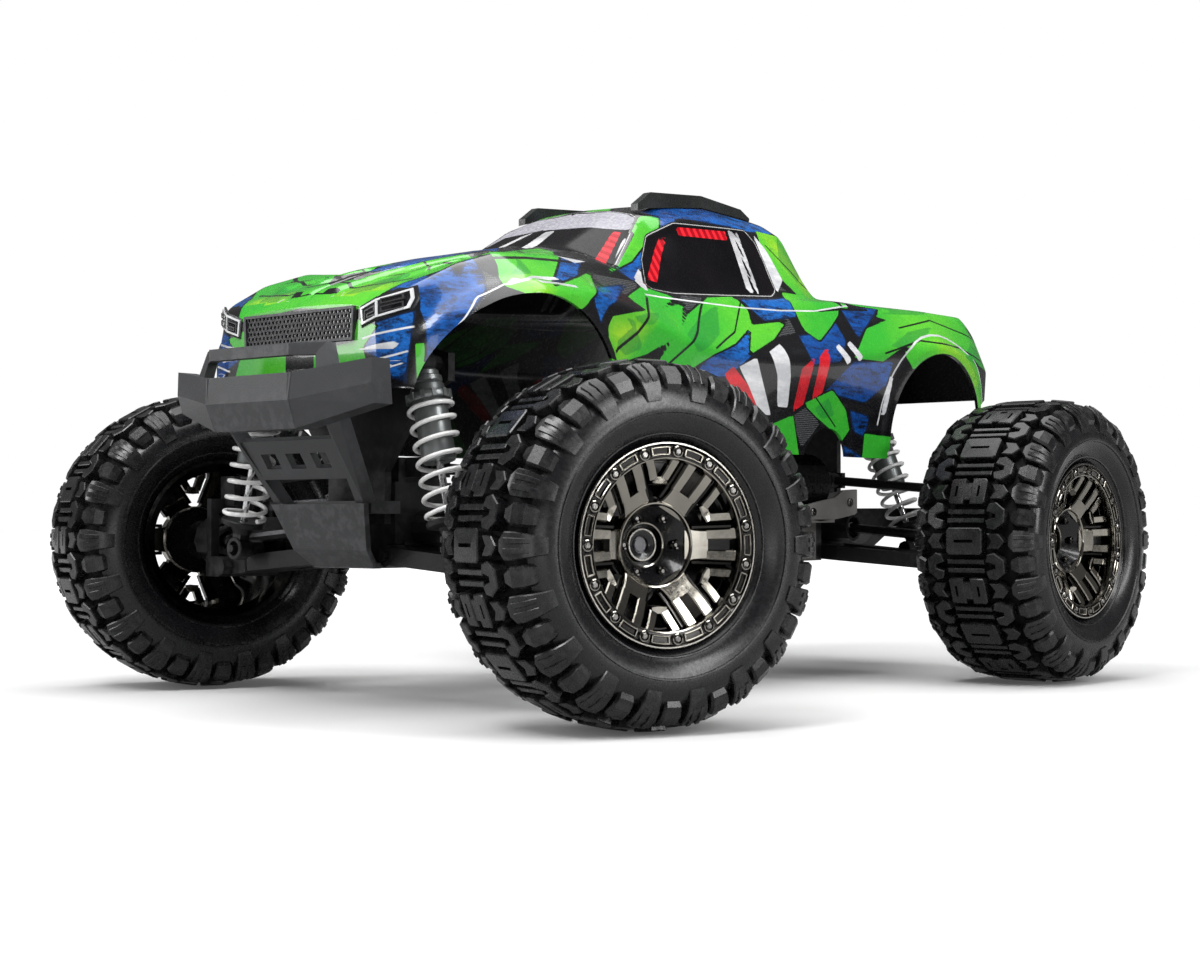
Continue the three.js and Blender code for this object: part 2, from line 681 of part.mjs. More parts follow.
const SHAPES = {
  tyre: tyreSolid(),
  wheel: wheelSolid(),
  stubAxle: stubAxleSolid(),
  upperLink: upperLinkSolid(),
  halfShaft: halfShaftSolid(),
  gearbox: gearboxSolid(),
};

function addCorner(truck, name, side, end) {
  const front = end < 0;
  const shock = front ? FRONT_SHOCK : REAR_SHOCK;
  const corner = new THREE.Group();
  corner.position.set(0, end * HALF_BASE, 0);
  corner.scale.set(side, end, 1);
  truck.add(corner);

  addPart(corner, `lower_arm_${name}`, lowerArmSolid(shock), BLACK_NYLON);
  addPart(corner, `upper_link_${name}`, SHAPES.upperLink, BLACK_NYLON);
  addPart(corner, `half_shaft_${name}`, SHAPES.halfShaft, STEEL);
  addPart(corner, `shock_body_${name}`, shockBodySolid(shock), ALUMINIUM);
  addPart(corner, `shock_shaft_${name}`, shockShaftSolid(shock), STEEL);
  addPart(corner, `shock_spring_${name}`, springSolid(shock), WHITE_SPRING);

  const swivel = new THREE.Group();
  swivel.position.set(KINGPIN_U, 0, 0);
  swivel.rotation.z = front ? side * end * STEER_AT_REST : 0;
  corner.add(swivel);
  if (front) {
    addPart(corner, `caster_block_${name}`, casterBlockSolid(), BLACK_NYLON);
    addPart(swivel, `steering_block_${name}`, steeringBlockSolid(), BLACK_NYLON).position.x = -KINGPIN_U;
  } else {
    addPart(corner, `hub_carrier_${name}`, hubCarrierSolid(), BLACK_NYLON);
  }
  const spinning = new THREE.Group();
  spinning.position.set(HALF_TRACK - KINGPIN_U, 0, AXLE_Z);
  swivel.add(spinning);
  addPart(spinning, `stub_axle_${name}`, SHAPES.stubAxle, STEEL);
  addPart(spinning, `wheel_${name}`, SHAPES.wheel, BLACK_CHROME);
  addPart(spinning, `tyre_${name}`, SHAPES.tyre, RUBBER);
}

function addEnd(truck, name, end, tower) {
  const group = new THREE.Group();
  group.position.set(0, end * HALF_BASE, 0);
  group.scale.set(1, end, 1);
  truck.add(group);
  addPart(group, `${name}_gearbox`, SHAPES.gearbox, BLACK_NYLON);
  addPart(group, `${name}_shock_tower`, tower, BLACK_NYLON);
}

function addSteering(truck) {
  addPart(truck, "steering_servo", servoSolid(), BLACK_NYLON);
  addPart(truck, "servo_saver", crankSolid(CRANK_X), BLACK_NYLON);
  addPart(truck, "idler_arm", crankSolid(-CRANK_X), BLACK_NYLON);
  addPart(truck, "drag_link", dragLinkSolid(), BLACK_NYLON);
  addPart(truck, "tie_rod_left", tieRodSolid(1), STEEL);
  addPart(truck, "tie_rod_right", tieRodSolid(-1), STEEL);
}

function buildTruck() {
  const truck = new THREE.Group();
  addPart(truck, "chassis_tub", chassisTubSolid(), BLACK_NYLON);
  addEnd(truck, "front", -1, towerSolid(FRONT_SHOCK, FRONT_TOWER_FACE, 28, 166));
  addEnd(truck, "rear", 1, towerSolid(REAR_SHOCK, REAR_TOWER_FACE, 24, 164));
  addPart(truck, "front_bumper", bumperSolid(), GREY_NYLON);
  addPart(truck, "front_skid_plate", skidPlateSolid(), GREY_NYLON);
  addPart(truck, "motor", motorSolid(), BLACK_NYLON);
  addPart(truck, "battery", batterySolid(), BATTERY_WRAP);
  addSteering(truck);
  for (const [name, side, end] of [["fl", 1, -1], ["fr", -1, -1], ["rl", 1, 1], ["rr", -1, 1]]) {
    addCorner(truck, name, side, end);
  }
  addPart(truck, "body_shell", bodyShellSolid(), BODY_PAINT);
  addPart(truck, "roof_skid_left", roofSkidSolid(1), BLACK_NYLON);
  addPart(truck, "roof_skid_right", roofSkidSolid(-1), BLACK_NYLON);
  return truck;
}

export default buildTruck();
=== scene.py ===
import math

import bmesh
import bpy
import numpy as np
from mathutils import Matrix, Vector


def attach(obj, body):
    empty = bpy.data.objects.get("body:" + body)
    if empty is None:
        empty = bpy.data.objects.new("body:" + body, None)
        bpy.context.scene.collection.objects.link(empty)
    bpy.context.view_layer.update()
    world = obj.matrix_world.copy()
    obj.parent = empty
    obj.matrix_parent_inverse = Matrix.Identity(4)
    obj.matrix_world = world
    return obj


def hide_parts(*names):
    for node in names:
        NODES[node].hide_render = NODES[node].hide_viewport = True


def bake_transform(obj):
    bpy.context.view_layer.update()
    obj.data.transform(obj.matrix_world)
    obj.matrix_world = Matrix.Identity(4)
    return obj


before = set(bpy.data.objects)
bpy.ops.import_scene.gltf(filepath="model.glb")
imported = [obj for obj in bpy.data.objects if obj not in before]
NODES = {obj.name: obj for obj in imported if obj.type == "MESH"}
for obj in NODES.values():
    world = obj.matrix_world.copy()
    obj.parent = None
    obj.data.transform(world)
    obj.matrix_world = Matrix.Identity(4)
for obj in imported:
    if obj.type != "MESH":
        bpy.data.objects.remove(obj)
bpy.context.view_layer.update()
FULL_TURN = 2 * math.pi

# Shapes are in millimetres: x to the truck's left, y to its tail, z up. Materials, lights and the
# camera are in metres, as the frame is.
MM = 0.001
CORNERS = ("fl", "fr", "rl", "rr")
TYRE_RADIUS = 67.5
STEER_AT_REST = math.radians(-19)
KINGPIN = Vector((107, -145, TYRE_RADIUS))
KINGPIN_TO_WHEEL = 33.5
REAR_CENTRE = Vector((140.5, 145, TYRE_RADIUS))


# ---------------------------------------------------------------- materials

def new_material(name):
    material = bpy.data.materials.new(name)
    material.use_nodes = True
    tree = material.node_tree
    tree.nodes.clear()
    output = tree.nodes.new("ShaderNodeOutputMaterial")
    shader = tree.nodes.new("ShaderNodeBsdfPrincipled")
    tree.links.new(shader.outputs[0], output.inputs[0])
    return material, shader


class Graph:
    """Short names for building a node tree."""

    def __init__(self, tree):
        self.tree = tree
        self.place = self.add("ShaderNodeTexCoord").outputs["Object"]

    def add(self, kind, **settings):
        node = self.tree.nodes.new(kind)
        for key, value in settings.items():
            setattr(node, key, value)
        return node

    def link(self, source, target):
        if isinstance(source, (int, float)):
            target.default_value = source
        elif isinstance(source, tuple):
            target.default_value = source if len(source) == 4 else (*source, 1)
        else:
            self.tree.links.new(source, target)

    def noise(self, scale, detail=3, rough=0.55, stretch=None):
        node = self.add("ShaderNodeTexNoise")
        for key, number in (("Scale", scale), ("Detail", detail), ("Roughness", rough)):
            node.inputs[key].default_value = number
        place = self.place
        if stretch:
            mapping = self.add("ShaderNodeMapping")
            mapping.inputs["Scale"].default_value = stretch
            self.link(place, mapping.inputs["Vector"])
            place = mapping.outputs[0]
        self.link(place, node.inputs["Vector"])
        return node.outputs[0]

    def math(self, operation, a, b=0.0, c=0.0):
        node = self.add("ShaderNodeMath", operation=operation)
        for value, socket in zip((a, b, c), node.inputs):
            self.link(value, socket)
        return node.outputs[0]

    def ramp(self, value, low, high, to_low=0.0, to_high=1.0):
        node = self.add("ShaderNodeMapRange")
        for key, number in (("From Min", low), ("From Max", high), ("To Min", to_low),
                            ("To Max", to_high)):
            node.inputs[key].default_value = number
        self.link(value, node.inputs["Value"])
        return node.outputs[0]

    def mix(self, factor, a, b, blend="MIX"):
        node = self.add("ShaderNodeMix", data_type="RGBA", blend_type=blend)
        for value, socket in ((factor, 0), (a, 6), (b, 7)):
            self.link(value, node.inputs[socket])
        return node.outputs[2]

    def attribute(self, name):
        return self.add("ShaderNodeAttribute", attribute_name=name).outputs["Fac"]

    def bump(self, height, strength, distance):
        node = self.add("ShaderNodeBump")
        node.inputs["Strength"].default_value = strength
        node.inputs["Distance"].default_value = distance
        self.link(height, node.inputs["Height"])
        return node.outputs[0]


COAT_ROUGHNESS = 0.05
GRAIN_HEIGHT = 0.0004
SCUFF_SCALE = 260


def surface(name, dark, light, rough, metal=0.0, grain=900, grain_depth=0.15, coat=0.0, patches=40,
            rough_swing=0.08, stretch=None, wear=0.0, wear_colour=None, shine=0.5):
    """A finish with blotches of two tones, a fine grain in the surface and uneven roughness."""
    material, shader = new_material(name)
    g = Graph(material.node_tree)
    blotch = g.ramp(g.noise(patches, 4), 0.35, 0.65)
    colour = g.mix(blotch, dark, light)
    if wear:
        edge = g.add("ShaderNodeNewGeometry").outputs["Pointiness"]
        scuff = g.math("MULTIPLY", g.ramp(edge, 0.52, 0.6),
                       g.ramp(g.noise(SCUFF_SCALE, 4), 0.45, 0.6))
        colour = g.mix(g.math("MULTIPLY", scuff, wear), colour, wear_colour)
    g.link(colour, shader.inputs["Base Color"])
    fine = g.noise(grain, 3, stretch=stretch)
    roughness = g.ramp(fine, 0.3, 0.7, rough - rough_swing, rough + rough_swing)
    g.link(roughness, shader.inputs["Roughness"])
    g.link(g.bump(fine, grain_depth, GRAIN_HEIGHT), shader.inputs["Normal"])
    for key, number in (("Metallic", metal), ("Specular IOR Level", shine), ("Coat Weight", coat),
                        ("Coat Roughness", COAT_ROUGHNESS)):
        shader.inputs[key].default_value = number
    return material


RUBBER = surface("tyre_rubber", (0.005, 0.005, 0.006), (0.009, 0.009, 0.01), 0.27, grain=700,
                 grain_depth=0.04, patches=60, rough_swing=0.05, wear=0.25,
                 wear_colour=(0.05, 0.05, 0.05), shine=0.42)
# Painted shade: a darker, duller copy of the tyre rubber for the groove floors and pits, standing in
# for the shade in the tread's recesses.
RUBBER_GROOVE_SHADE = surface("tyre_rubber_painted_groove_shade", (0.003, 0.003, 0.003), (0.006, 0.006, 0.006), 0.6,
                      grain=700,
                      grain_depth=0.2, patches=60, shine=0.1)
CHROME = surface("wheel_black_chrome", (0.2, 0.19, 0.165), (0.34, 0.32, 0.28), 0.12, metal=1.0,
                 grain=500, grain_depth=0.02, patches=30, rough_swing=0.04, coat=0.3)
# Painted highlight: a lighter copy of the black chrome, for the outer lip and a hub ring that catch the
# light.
CHROME_PAINTED_HIGHLIGHT = surface("wheel_chrome_painted_highlight", (0.3, 0.285, 0.26), (0.42, 0.4, 0.37), 0.14, metal=1.0,
                     grain=500, grain_depth=0.02, patches=30, rough_swing=0.05, coat=0.3)
# Painted shade: a near-black copy of the black chrome, for the barrel, the bolt pads and the slots
# beside the spokes.
CHROME_PAINTED_SHADE = surface("wheel_chrome_painted_shade", (0.014, 0.0135, 0.013), (0.03, 0.029, 0.027), 0.14,
                      metal=1.0,
                      grain=500, grain_depth=0.02, patches=30, rough_swing=0.05, coat=0.25)
HUB_BLACK = surface("wheel_hub_black", (0.004, 0.004, 0.005), (0.01, 0.01, 0.011), 0.22, grain=600,
                    grain_depth=0.05, coat=0.25, shine=0.3)
BOLT_STEEL = surface("bolt_steel", (0.14, 0.135, 0.13), (0.24, 0.23, 0.22), 0.2, metal=1.0,
                     grain=900,
                     grain_depth=0.05)
DARK_STEEL = surface("dark_steel", (0.06, 0.06, 0.065), (0.12, 0.12, 0.125), 0.34, metal=1.0,
                     grain=800,
                     grain_depth=0.08)
NYLON = surface("black_nylon", (0.004, 0.004, 0.0045), (0.009, 0.009, 0.0095), 0.4, grain=1300,
                grain_depth=0.18, patches=50, wear=0.3, wear_colour=(0.06, 0.06, 0.065), shine=0.28)
GREY_NYLON = surface("bumper_grey_nylon", (0.038, 0.039, 0.041), (0.041, 0.042, 0.045), 0.42,
                     grain=1700,
                     grain_depth=0.3, patches=45, wear=0.25, wear_colour=(0.15, 0.15, 0.16),
                     shine=0.4)
SPRING_WHITE = surface("spring_white", (0.72, 0.72, 0.71), (0.86, 0.86, 0.85), 0.28, grain=600,
                       grain_depth=0.05, coat=0.4)
SHOCK_GREY = surface("shock_aluminium", (0.12, 0.13, 0.13), (0.2, 0.21, 0.21), 0.36, metal=0.7,
                     grain=900,
                     grain_depth=0.08, stretch=(4, 4, 1))
SHOCK_SHAFT = surface("shock_shaft_steel", (0.55, 0.55, 0.56), (0.7, 0.7, 0.71), 0.18, metal=1.0,
                      grain=900, grain_depth=0.03)
MOTOR_STEEL = surface("motor_steel", (0.015, 0.015, 0.017), (0.035, 0.035, 0.038), 0.3, metal=0.9,
                      grain=500,
                      grain_depth=0.06)
BATTERY_BLUE = surface("battery_wrap", (0.012, 0.03, 0.09), (0.02, 0.05, 0.14), 0.34, grain=240,
                       grain_depth=0.2, coat=0.3)
ROOF_BLACK = surface("roof_rail_black", (0.010, 0.011, 0.011), (0.022, 0.024, 0.024), 0.3,
                     grain=1200,
                     grain_depth=0.15, patches=60)
GRILLE_GREY = surface("grille_grey", (0.035, 0.035, 0.038), (0.06, 0.06, 0.064), 0.34, metal=0.3,
                      grain=900,
                      grain_depth=0.1)
LAMP_WHITE = surface("lamp_white", (0.66, 0.67, 0.68), (0.82, 0.83, 0.84), 0.2, grain=500,
                     grain_depth=0.04, coat=0.6)
LAMP_DARK = surface("lamp_dark", (0.012, 0.013, 0.014), (0.03, 0.031, 0.033), 0.15, grain=500,
                    grain_depth=0.05, coat=0.8)
BRACKET_GREY = surface("bracket_grey", (0.22, 0.21, 0.2), (0.3, 0.29, 0.28), 0.4, metal=0.5,
                       grain=1100,
                       grain_depth=0.2)


# ---------------------------------------------------------------- mesh helpers

def add_object(name, data):
    obj = bpy.data.objects.new(name, data)
    bpy.context.scene.collection.objects.link(obj)
    return obj


def quads(rows, count, closed=True, round_again=False):
    """Faces between rows of count points; closed joins a row's ends, round_again the last row to
    the first."""
    faces = []
    for r in range(rows if round_again else rows - 1):
        s = (r + 1) % rows
        for i in range(count if closed else count - 1):
            j = (i + 1) % count
            faces.append((r * count + i, r * count + j, s * count + j, s * count + i))
    return faces


def capped(rows, count, closed=True):
    """The faces of a bar: its rows of points joined, with a face over each end."""
    total = rows * count
    ends = [tuple(range(count)), tuple(reversed(range(total - count, total)))]
    return ends + quads(rows, count, closed)


class Shape:
    """Collects the vertices and faces of one mesh, each face with a material number."""

    def __init__(self):
        self.vertices = []
        self.faces = []
        self.tags = []

    def add(self, vertices, faces, tag=0, matrix=None):
        """Takes in points and faces; the tag is one material number, or a list with one for each
        face."""
        base = len(self.vertices)
        for v in vertices:
            v = Vector(v)
            self.vertices.append(matrix @ v if matrix else v)
        self.faces += [tuple(base + i for i in face) for face in faces]
        self.tags += tag if isinstance(tag, list) else [tag] * len(faces)

    def lathe(self, profile, segments, tag=0, matrix=None):
        """Turns the closed outline of (radius, along) points about the X axis."""
        points = []
        for k in range(segments):
            a = FULL_TURN * k / segments
            points += [(w, r * math.cos(a), r * math.sin(a)) for r, w in profile]
        self.add(points, quads(segments, len(profile), round_again=True), tag, matrix)

    def prism(self, outline, bottom, top, tag=0, matrix=None, chamfer=0.0):
        """An outline in the YZ plane drawn out along X, with its top edge taken in by the
        chamfer."""
        n = len(outline)
        rows = [(bottom, outline), (top, outline)]
        if chamfer:
            rows = [(bottom, outline), (top - chamfer, outline), (top, inset(outline, chamfer))]
        points = [(x, *p) for x, row in rows for p in row]
        faces = [tuple(reversed(range(n))), tuple(range(len(points) - n, len(points)))]
        self.add(points, faces + quads(len(rows), n), tag, matrix)

    def build(self, name, materials, matrix=None, sharp=35):
        """The mesh object, in metres, smooth except at edges sharper than that many degrees."""
        points = [matrix @ v for v in self.vertices] if matrix else self.vertices
        mesh = bpy.data.meshes.new(name)
        mesh.from_pydata([tuple(c * MM for c in v) for v in points], [], self.faces)
        for material in materials:
            mesh.materials.append(material)
        mesh.polygons.foreach_set("material_index", self.tags)
        work = bmesh.new()
        work.from_mesh(mesh)
        bmesh.ops.recalc_face_normals(work, faces=work.faces)
        for face in work.faces:
            face.smooth = True
        for edge in work.edges:
            edge.smooth = len(edge.link_faces) == 2 and edge.calc_face_angle(0) < math.radians(sharp)
        work.to_mesh(mesh)
        work.free()
        return add_object(name, mesh)


MITRE_LIMIT = 0.35


def inset(outline, distance):
    """The outline moved in by the distance, or out by a negative one; sharp corners move a limited
    way."""
    n = len(outline)
    area = sum(outline[i][0] * outline[(i + 1) % n][1] - outline[(i + 1) % n][0] * outline[i][1]
               for i in range(n))
    side = 1 if area > 0 else -1
    result = []
    for i in range(n):
        before, here, after = (Vector(outline[(i + k) % n]) for k in (-1, 0, 1))
        a = (here - before).normalized()
        b = (after - here).normalized()
        na = Vector((-a.y, a.x)) * side
        nb = Vector((-b.y, b.x)) * side
        way = (na + nb).normalized()
        result.append(tuple(here + way * (distance / max(MITRE_LIMIT, way.dot(na)))))
    return result


def frame_at(origin, forward, up=Vector((0, 0, 1))):
    """Local X along forward, local Z near up."""
    x = Vector(forward).normalized()
    z = (Vector(up) - x * Vector(up).dot(x)).normalized()
    y = z.cross(x)
    return Matrix(((x.x, y.x, z.x, origin[0]), (x.y, y.y, z.y, origin[1]),
                   (x.z, y.z, z.z, origin[2]), (0, 0, 0, 1)))


def circle(radius, count, cy=0.0, cz=0.0):
    return [(cy + radius * math.cos(FULL_TURN * k / count),
             cz + radius * math.sin(FULL_TURN * k / count)) for k in range(count)]


def turned(angle):
    """A turn about the X axis."""
    return Matrix.Rotation(angle, 4, "X")


def round_edges(obj, width, angle=None):
    bevel = obj.modifiers.new("edges", "BEVEL")
    bevel.width = width * MM
    bevel.segments = 2
    bevel.limit_method = "ANGLE"
    if angle:
        bevel.angle_limit = math.radians(angle)


def dress(node, material, bevel):
    """A CAD node that shows, with its edges rounded and its own finish."""
    obj = NODES[node]
    obj.data.materials.clear()
    obj.data.materials.append(material)
    merge = obj.modifiers.new("flat_faces", "DECIMATE")
    merge.decimate_type = "DISSOLVE"
    merge.angle_limit = math.radians(2)
    round_edges(obj, bevel, 28)


# ---------------------------------------------------------------- wheel places

def side_of(corner):
    return 1 if corner[1] == "l" else -1


def wheel_matrix(corner):
    """Local X is the wheel's axle, pointing away from the truck; the origin is the tyre's
    middle."""
    side = side_of(corner)
    if corner[0] == "r":
        return frame_at(Vector((side * REAR_CENTRE.x, REAR_CENTRE.y, REAR_CENTRE.z)), (side, 0, 0))
    axis = Vector((math.cos(STEER_AT_REST), math.sin(STEER_AT_REST), 0))
    pivot = Vector((side * KINGPIN.x, KINGPIN.y, KINGPIN.z))
    return frame_at(pivot + axis * side * KINGPIN_TO_WHEEL, axis * side)


# ---------------------------------------------------------------- tyres

# The tread's top and the carcass, as (along the axle, radius).
TYRE_TOP = [(0, TYRE_RADIUS), (12, 67.2), (20, 66.2), (26, 64.0), (29.8, 60.4), (31.6, 56.0),
            (32.1, 51.0)]
CARCASS = [(-23.0, 35.2), (-24.5, 37.4), (-28.0, 40.0), (-30.8, 44.0), (-31.7, 49.0), (-30.4, 54.0),
           (-27.6, 57.4),
           (-23.5, 59.4), (-18.0, 60.6), (-9.0, 61.2), (0.0, 61.4)]


def along_profile(distance):
    """Point (w, r) and outward direction on the tread's own curve, at an arc length from its
    middle."""
    side = 1 if distance >= 0 else -1
    left = abs(distance)
    for (w0, r0), (w1, r1) in zip(TYRE_TOP, TYRE_TOP[1:]):
        length = math.hypot(w1 - w0, r1 - r0)
        if left <= length or (w1, r1) == TYRE_TOP[-1]:
            t = left / length
            w, r = w0 + (w1 - w0) * t, r0 + (r1 - r0) * t
            out = Vector((-(r1 - r0), w1 - w0)).normalized()
            return side * w, r, side * out.x, out.y
        left -= length


def on_tyre(around, across, depth):
    """A point of the tread: millimetres around the tyre, across it from the middle, and below its
    top."""
    w, r, out_w, out_r = along_profile(across)
    w -= out_w * depth
    r -= out_r * depth
    a = around / TYRE_RADIUS
    return Vector((w, r * math.cos(a), r * math.sin(a)))


# Tread outlines as (around, across) points about the middle of a block.
CENTRE_BLOCK = [(-6.2, -8.0), (-6.2, 8.0), (-5.0, 9.2), (5.0, 9.2), (6.2, 8.0), (6.2, -8.0),
                (5.0, -9.2),
                (-5.0, -9.2)]
CENTRE_SLOT = [(-0.7, -4.6), (-0.7, 4.6), (-0.5, 4.8), (0.5, 4.8), (0.7, 4.6), (0.7, -4.6),
               (0.5, -4.8),
               (-0.5, -4.8)]
HALF_BLOCK = [(-6.2, 1.8), (-6.2, 8.2), (-5.2, 9.2), (5.2, 9.2), (6.2, 8.2), (6.2, 1.8)]
HALF_PIT = [(-2.6, 5.1), (-2.6, 5.9), (-2.4, 6.2), (2.4, 6.2), (2.6, 5.9), (2.6, 5.1)]
LINK = [(-4.2, -2.4), (-4.2, 2.4), (4.2, 2.4), (4.2, -2.4)]
BAR = [(-1.1, -9.5), (-1.1, 9.5), (1.1, 9.5), (1.1, -9.5)]
CHEVRON = [(-5.6, 11.8), (-6.4, 15.2), (-3.0, 19.8), (3.0, 19.8), (6.4, 15.2), (5.6, 11.8),
           (2.2, 10.8),
           (0.8, 15.4), (-0.8, 15.4), (-2.2, 10.8)]
ARROW = [(-3.6, 11.4), (-3.6, 17.0), (0, 20.0), (3.6, 17.0), (3.6, 11.4), (0, 13.6)]

# Shoulder pieces as (across, half width, how far below the tread's top).
LUG = [(22.0, 2.4, 0.3), (24.2, 5.2, 0.0), (28.5, 5.3, 0.0), (33.0, 4.8, 0.0), (37.0, 4.4, 0.0),
       (41.0, 4.0, 0.4)]
SIPE = [(24.6, 1.1, -0.5), (29.5, 1.1, -0.5), (34.0, 1.0, -0.3)]
BUTTRESS = [(22.8, 2.6, 1.2), (26.5, 4.4, 0.5), (31.0, 4.6, 0.3), (35.0, 4.4, 0.9),
            (38.5, 4.0, 2.4)]

PITCHES = 18
BLOCK_DEPTH = 7.0
PIT_DEPTH = 2.6
GROOVE_RADIUS = 57
# Material numbers of the tyre: its rubber, and the darker rubber of painted shade in the grooves and
# pits.
SKIN, GROOVE_SHADE = 0, 1


def placed(outline, around, side=1):
    return [(around + u, side * a) for u, a in outline]


def block(shape, outline, chamfer, sunk=0.0):
    """A tread block standing on the carcass."""
    points = [on_tyre(u, a, BLOCK_DEPTH) for u, a in outline]
    points += [on_tyre(u, a, sunk + chamfer * 0.9) for u, a in outline]
    points += [on_tyre(u, a, sunk) for u, a in inset(outline, chamfer)]
    n = len(outline)
    shape.add(points, [tuple(range(2 * n, 3 * n))] + quads(3, n))


def pierced_block(shape, outline, hole, chamfer=0.45):
    """A tread block with a pit in its top; the pit's outline has as many points as the block's."""
    rows = ((outline, BLOCK_DEPTH), (outline, chamfer * 0.9), (inset(outline, chamfer), 0),
            (hole, 0),
            (hole, PIT_DEPTH))
    points = [on_tyre(u, a, depth) for row, depth in rows for u, a in row]
    n = len(outline)
    faces = quads(5, n) + [tuple(range(4 * n, 5 * n)), tuple(reversed(range(n)))]
    # The pit's walls and floor take the darker rubber: painted shade in the pit.
    shape.add(points, faces, [SKIN] * 3 * n + [GROOVE_SHADE] * n + [GROOVE_SHADE, SKIN])


def shoulder_strip(shape, stations, around, side, depth, chamfer):
    """A piece that wraps the shoulder, through its stations."""
    points = []
    for across, half_width, sunk in stations:
        low, high, across = around - half_width, around + half_width, side * across
        points += [on_tyre(low, across, depth), on_tyre(low, across, sunk + chamfer),
                   on_tyre(low + chamfer, across, sunk), on_tyre(high - chamfer, across, sunk),
                   on_tyre(high, across, sunk + chamfer), on_tyre(high, across, depth)]
    shape.add(points, capped(len(stations), 6, closed=False))


def tyre_shape():
    shape = Shape()
    half = [(r, w) for w, r in CARCASS]
    inner = [(34.6, 22.0), (38.0, 20.0), (56.0, 20.0), (56.0, -20.0), (38.0, -20.0), (34.6, -22.0)]
    shape.lathe(half + [(r, -w) for r, w in reversed(half[:-1])] + inner, 128)
    # The tread's floor between the blocks takes the darker rubber: painted shade in the grooves.
    for k, face in enumerate(shape.faces):
        middle = sum((shape.vertices[i] for i in face), Vector()) / len(face)
        if math.hypot(middle.y, middle.z) > GROOVE_RADIUS:
            shape.tags[k] = GROOVE_SHADE
    pitch = FULL_TURN * TYRE_RADIUS / PITCHES
    for k in range(PITCHES):
        u = k * pitch
        if k % 2:
            pierced_block(shape, placed(CENTRE_BLOCK, u), placed(CENTRE_SLOT, u))
        else:
            for side in (-1, 1):
                pierced_block(shape, placed(HALF_BLOCK, u, side), placed(HALF_PIT, u, side))
            block(shape, placed(LINK, u), 0.4, 0.5)
        mid = u + pitch / 2
        for bar in (-2.1, 2.1):
            block(shape, placed(BAR, mid + bar), 0.3, 1.2)
        for side in (-1, 1):
            block(shape, placed(CHEVRON, mid, side), 0.45)
            block(shape, placed(ARROW, u, side), 0.4, 0.6)
            shoulder_strip(shape, LUG, u, side, 6.5, 0.5)
            for rib in (-1.9, 1.9):
                shoulder_strip(shape, SIPE, u + rib, side, 1.0, 0.25)
            shoulder_strip(shape, BUTTRESS, mid, side, 6.0, 1.0)
    return shape


def sidewall_rings(shape):
    """Two fine raised rings on each sidewall."""
    for side in (-1, 1):
        for radius, w in ((47.2, 31.75), (39.6, 27.9)):
            ring = [(radius - 0.5, side * (w - 0.5)), (radius - 0.25, side * (w + 0.15)),
                    (radius + 0.25, side * (w + 0.2)), (radius + 0.5, side * (w - 0.3))]
            shape.lathe(ring, 96)


# ---------------------------------------------------------------- wheels

SPOKES = 6
BOLTS = 15
HUB_BOLTS = 6
# Wheel material numbers: the face's chrome, a painted highlight on the chrome, the hub, the bolts and a
# painted shade on the chrome.
FACE, HIGHLIT, HUB, BOLT, SHADED = range(5)
WHEEL_FINISHES_AND_PAINTED_LIGHT = [CHROME, CHROME_PAINTED_HIGHLIGHT, HUB_BLACK, BOLT_STEEL, CHROME_PAINTED_SHADE]

# How far out the wheel's face stands, as (radius, along the axle).
DISH = [(8.0, 12.0), (14.0, 17.4), (22.0, 20.8), (29.0, 23.6), (32.4, 24.4)]


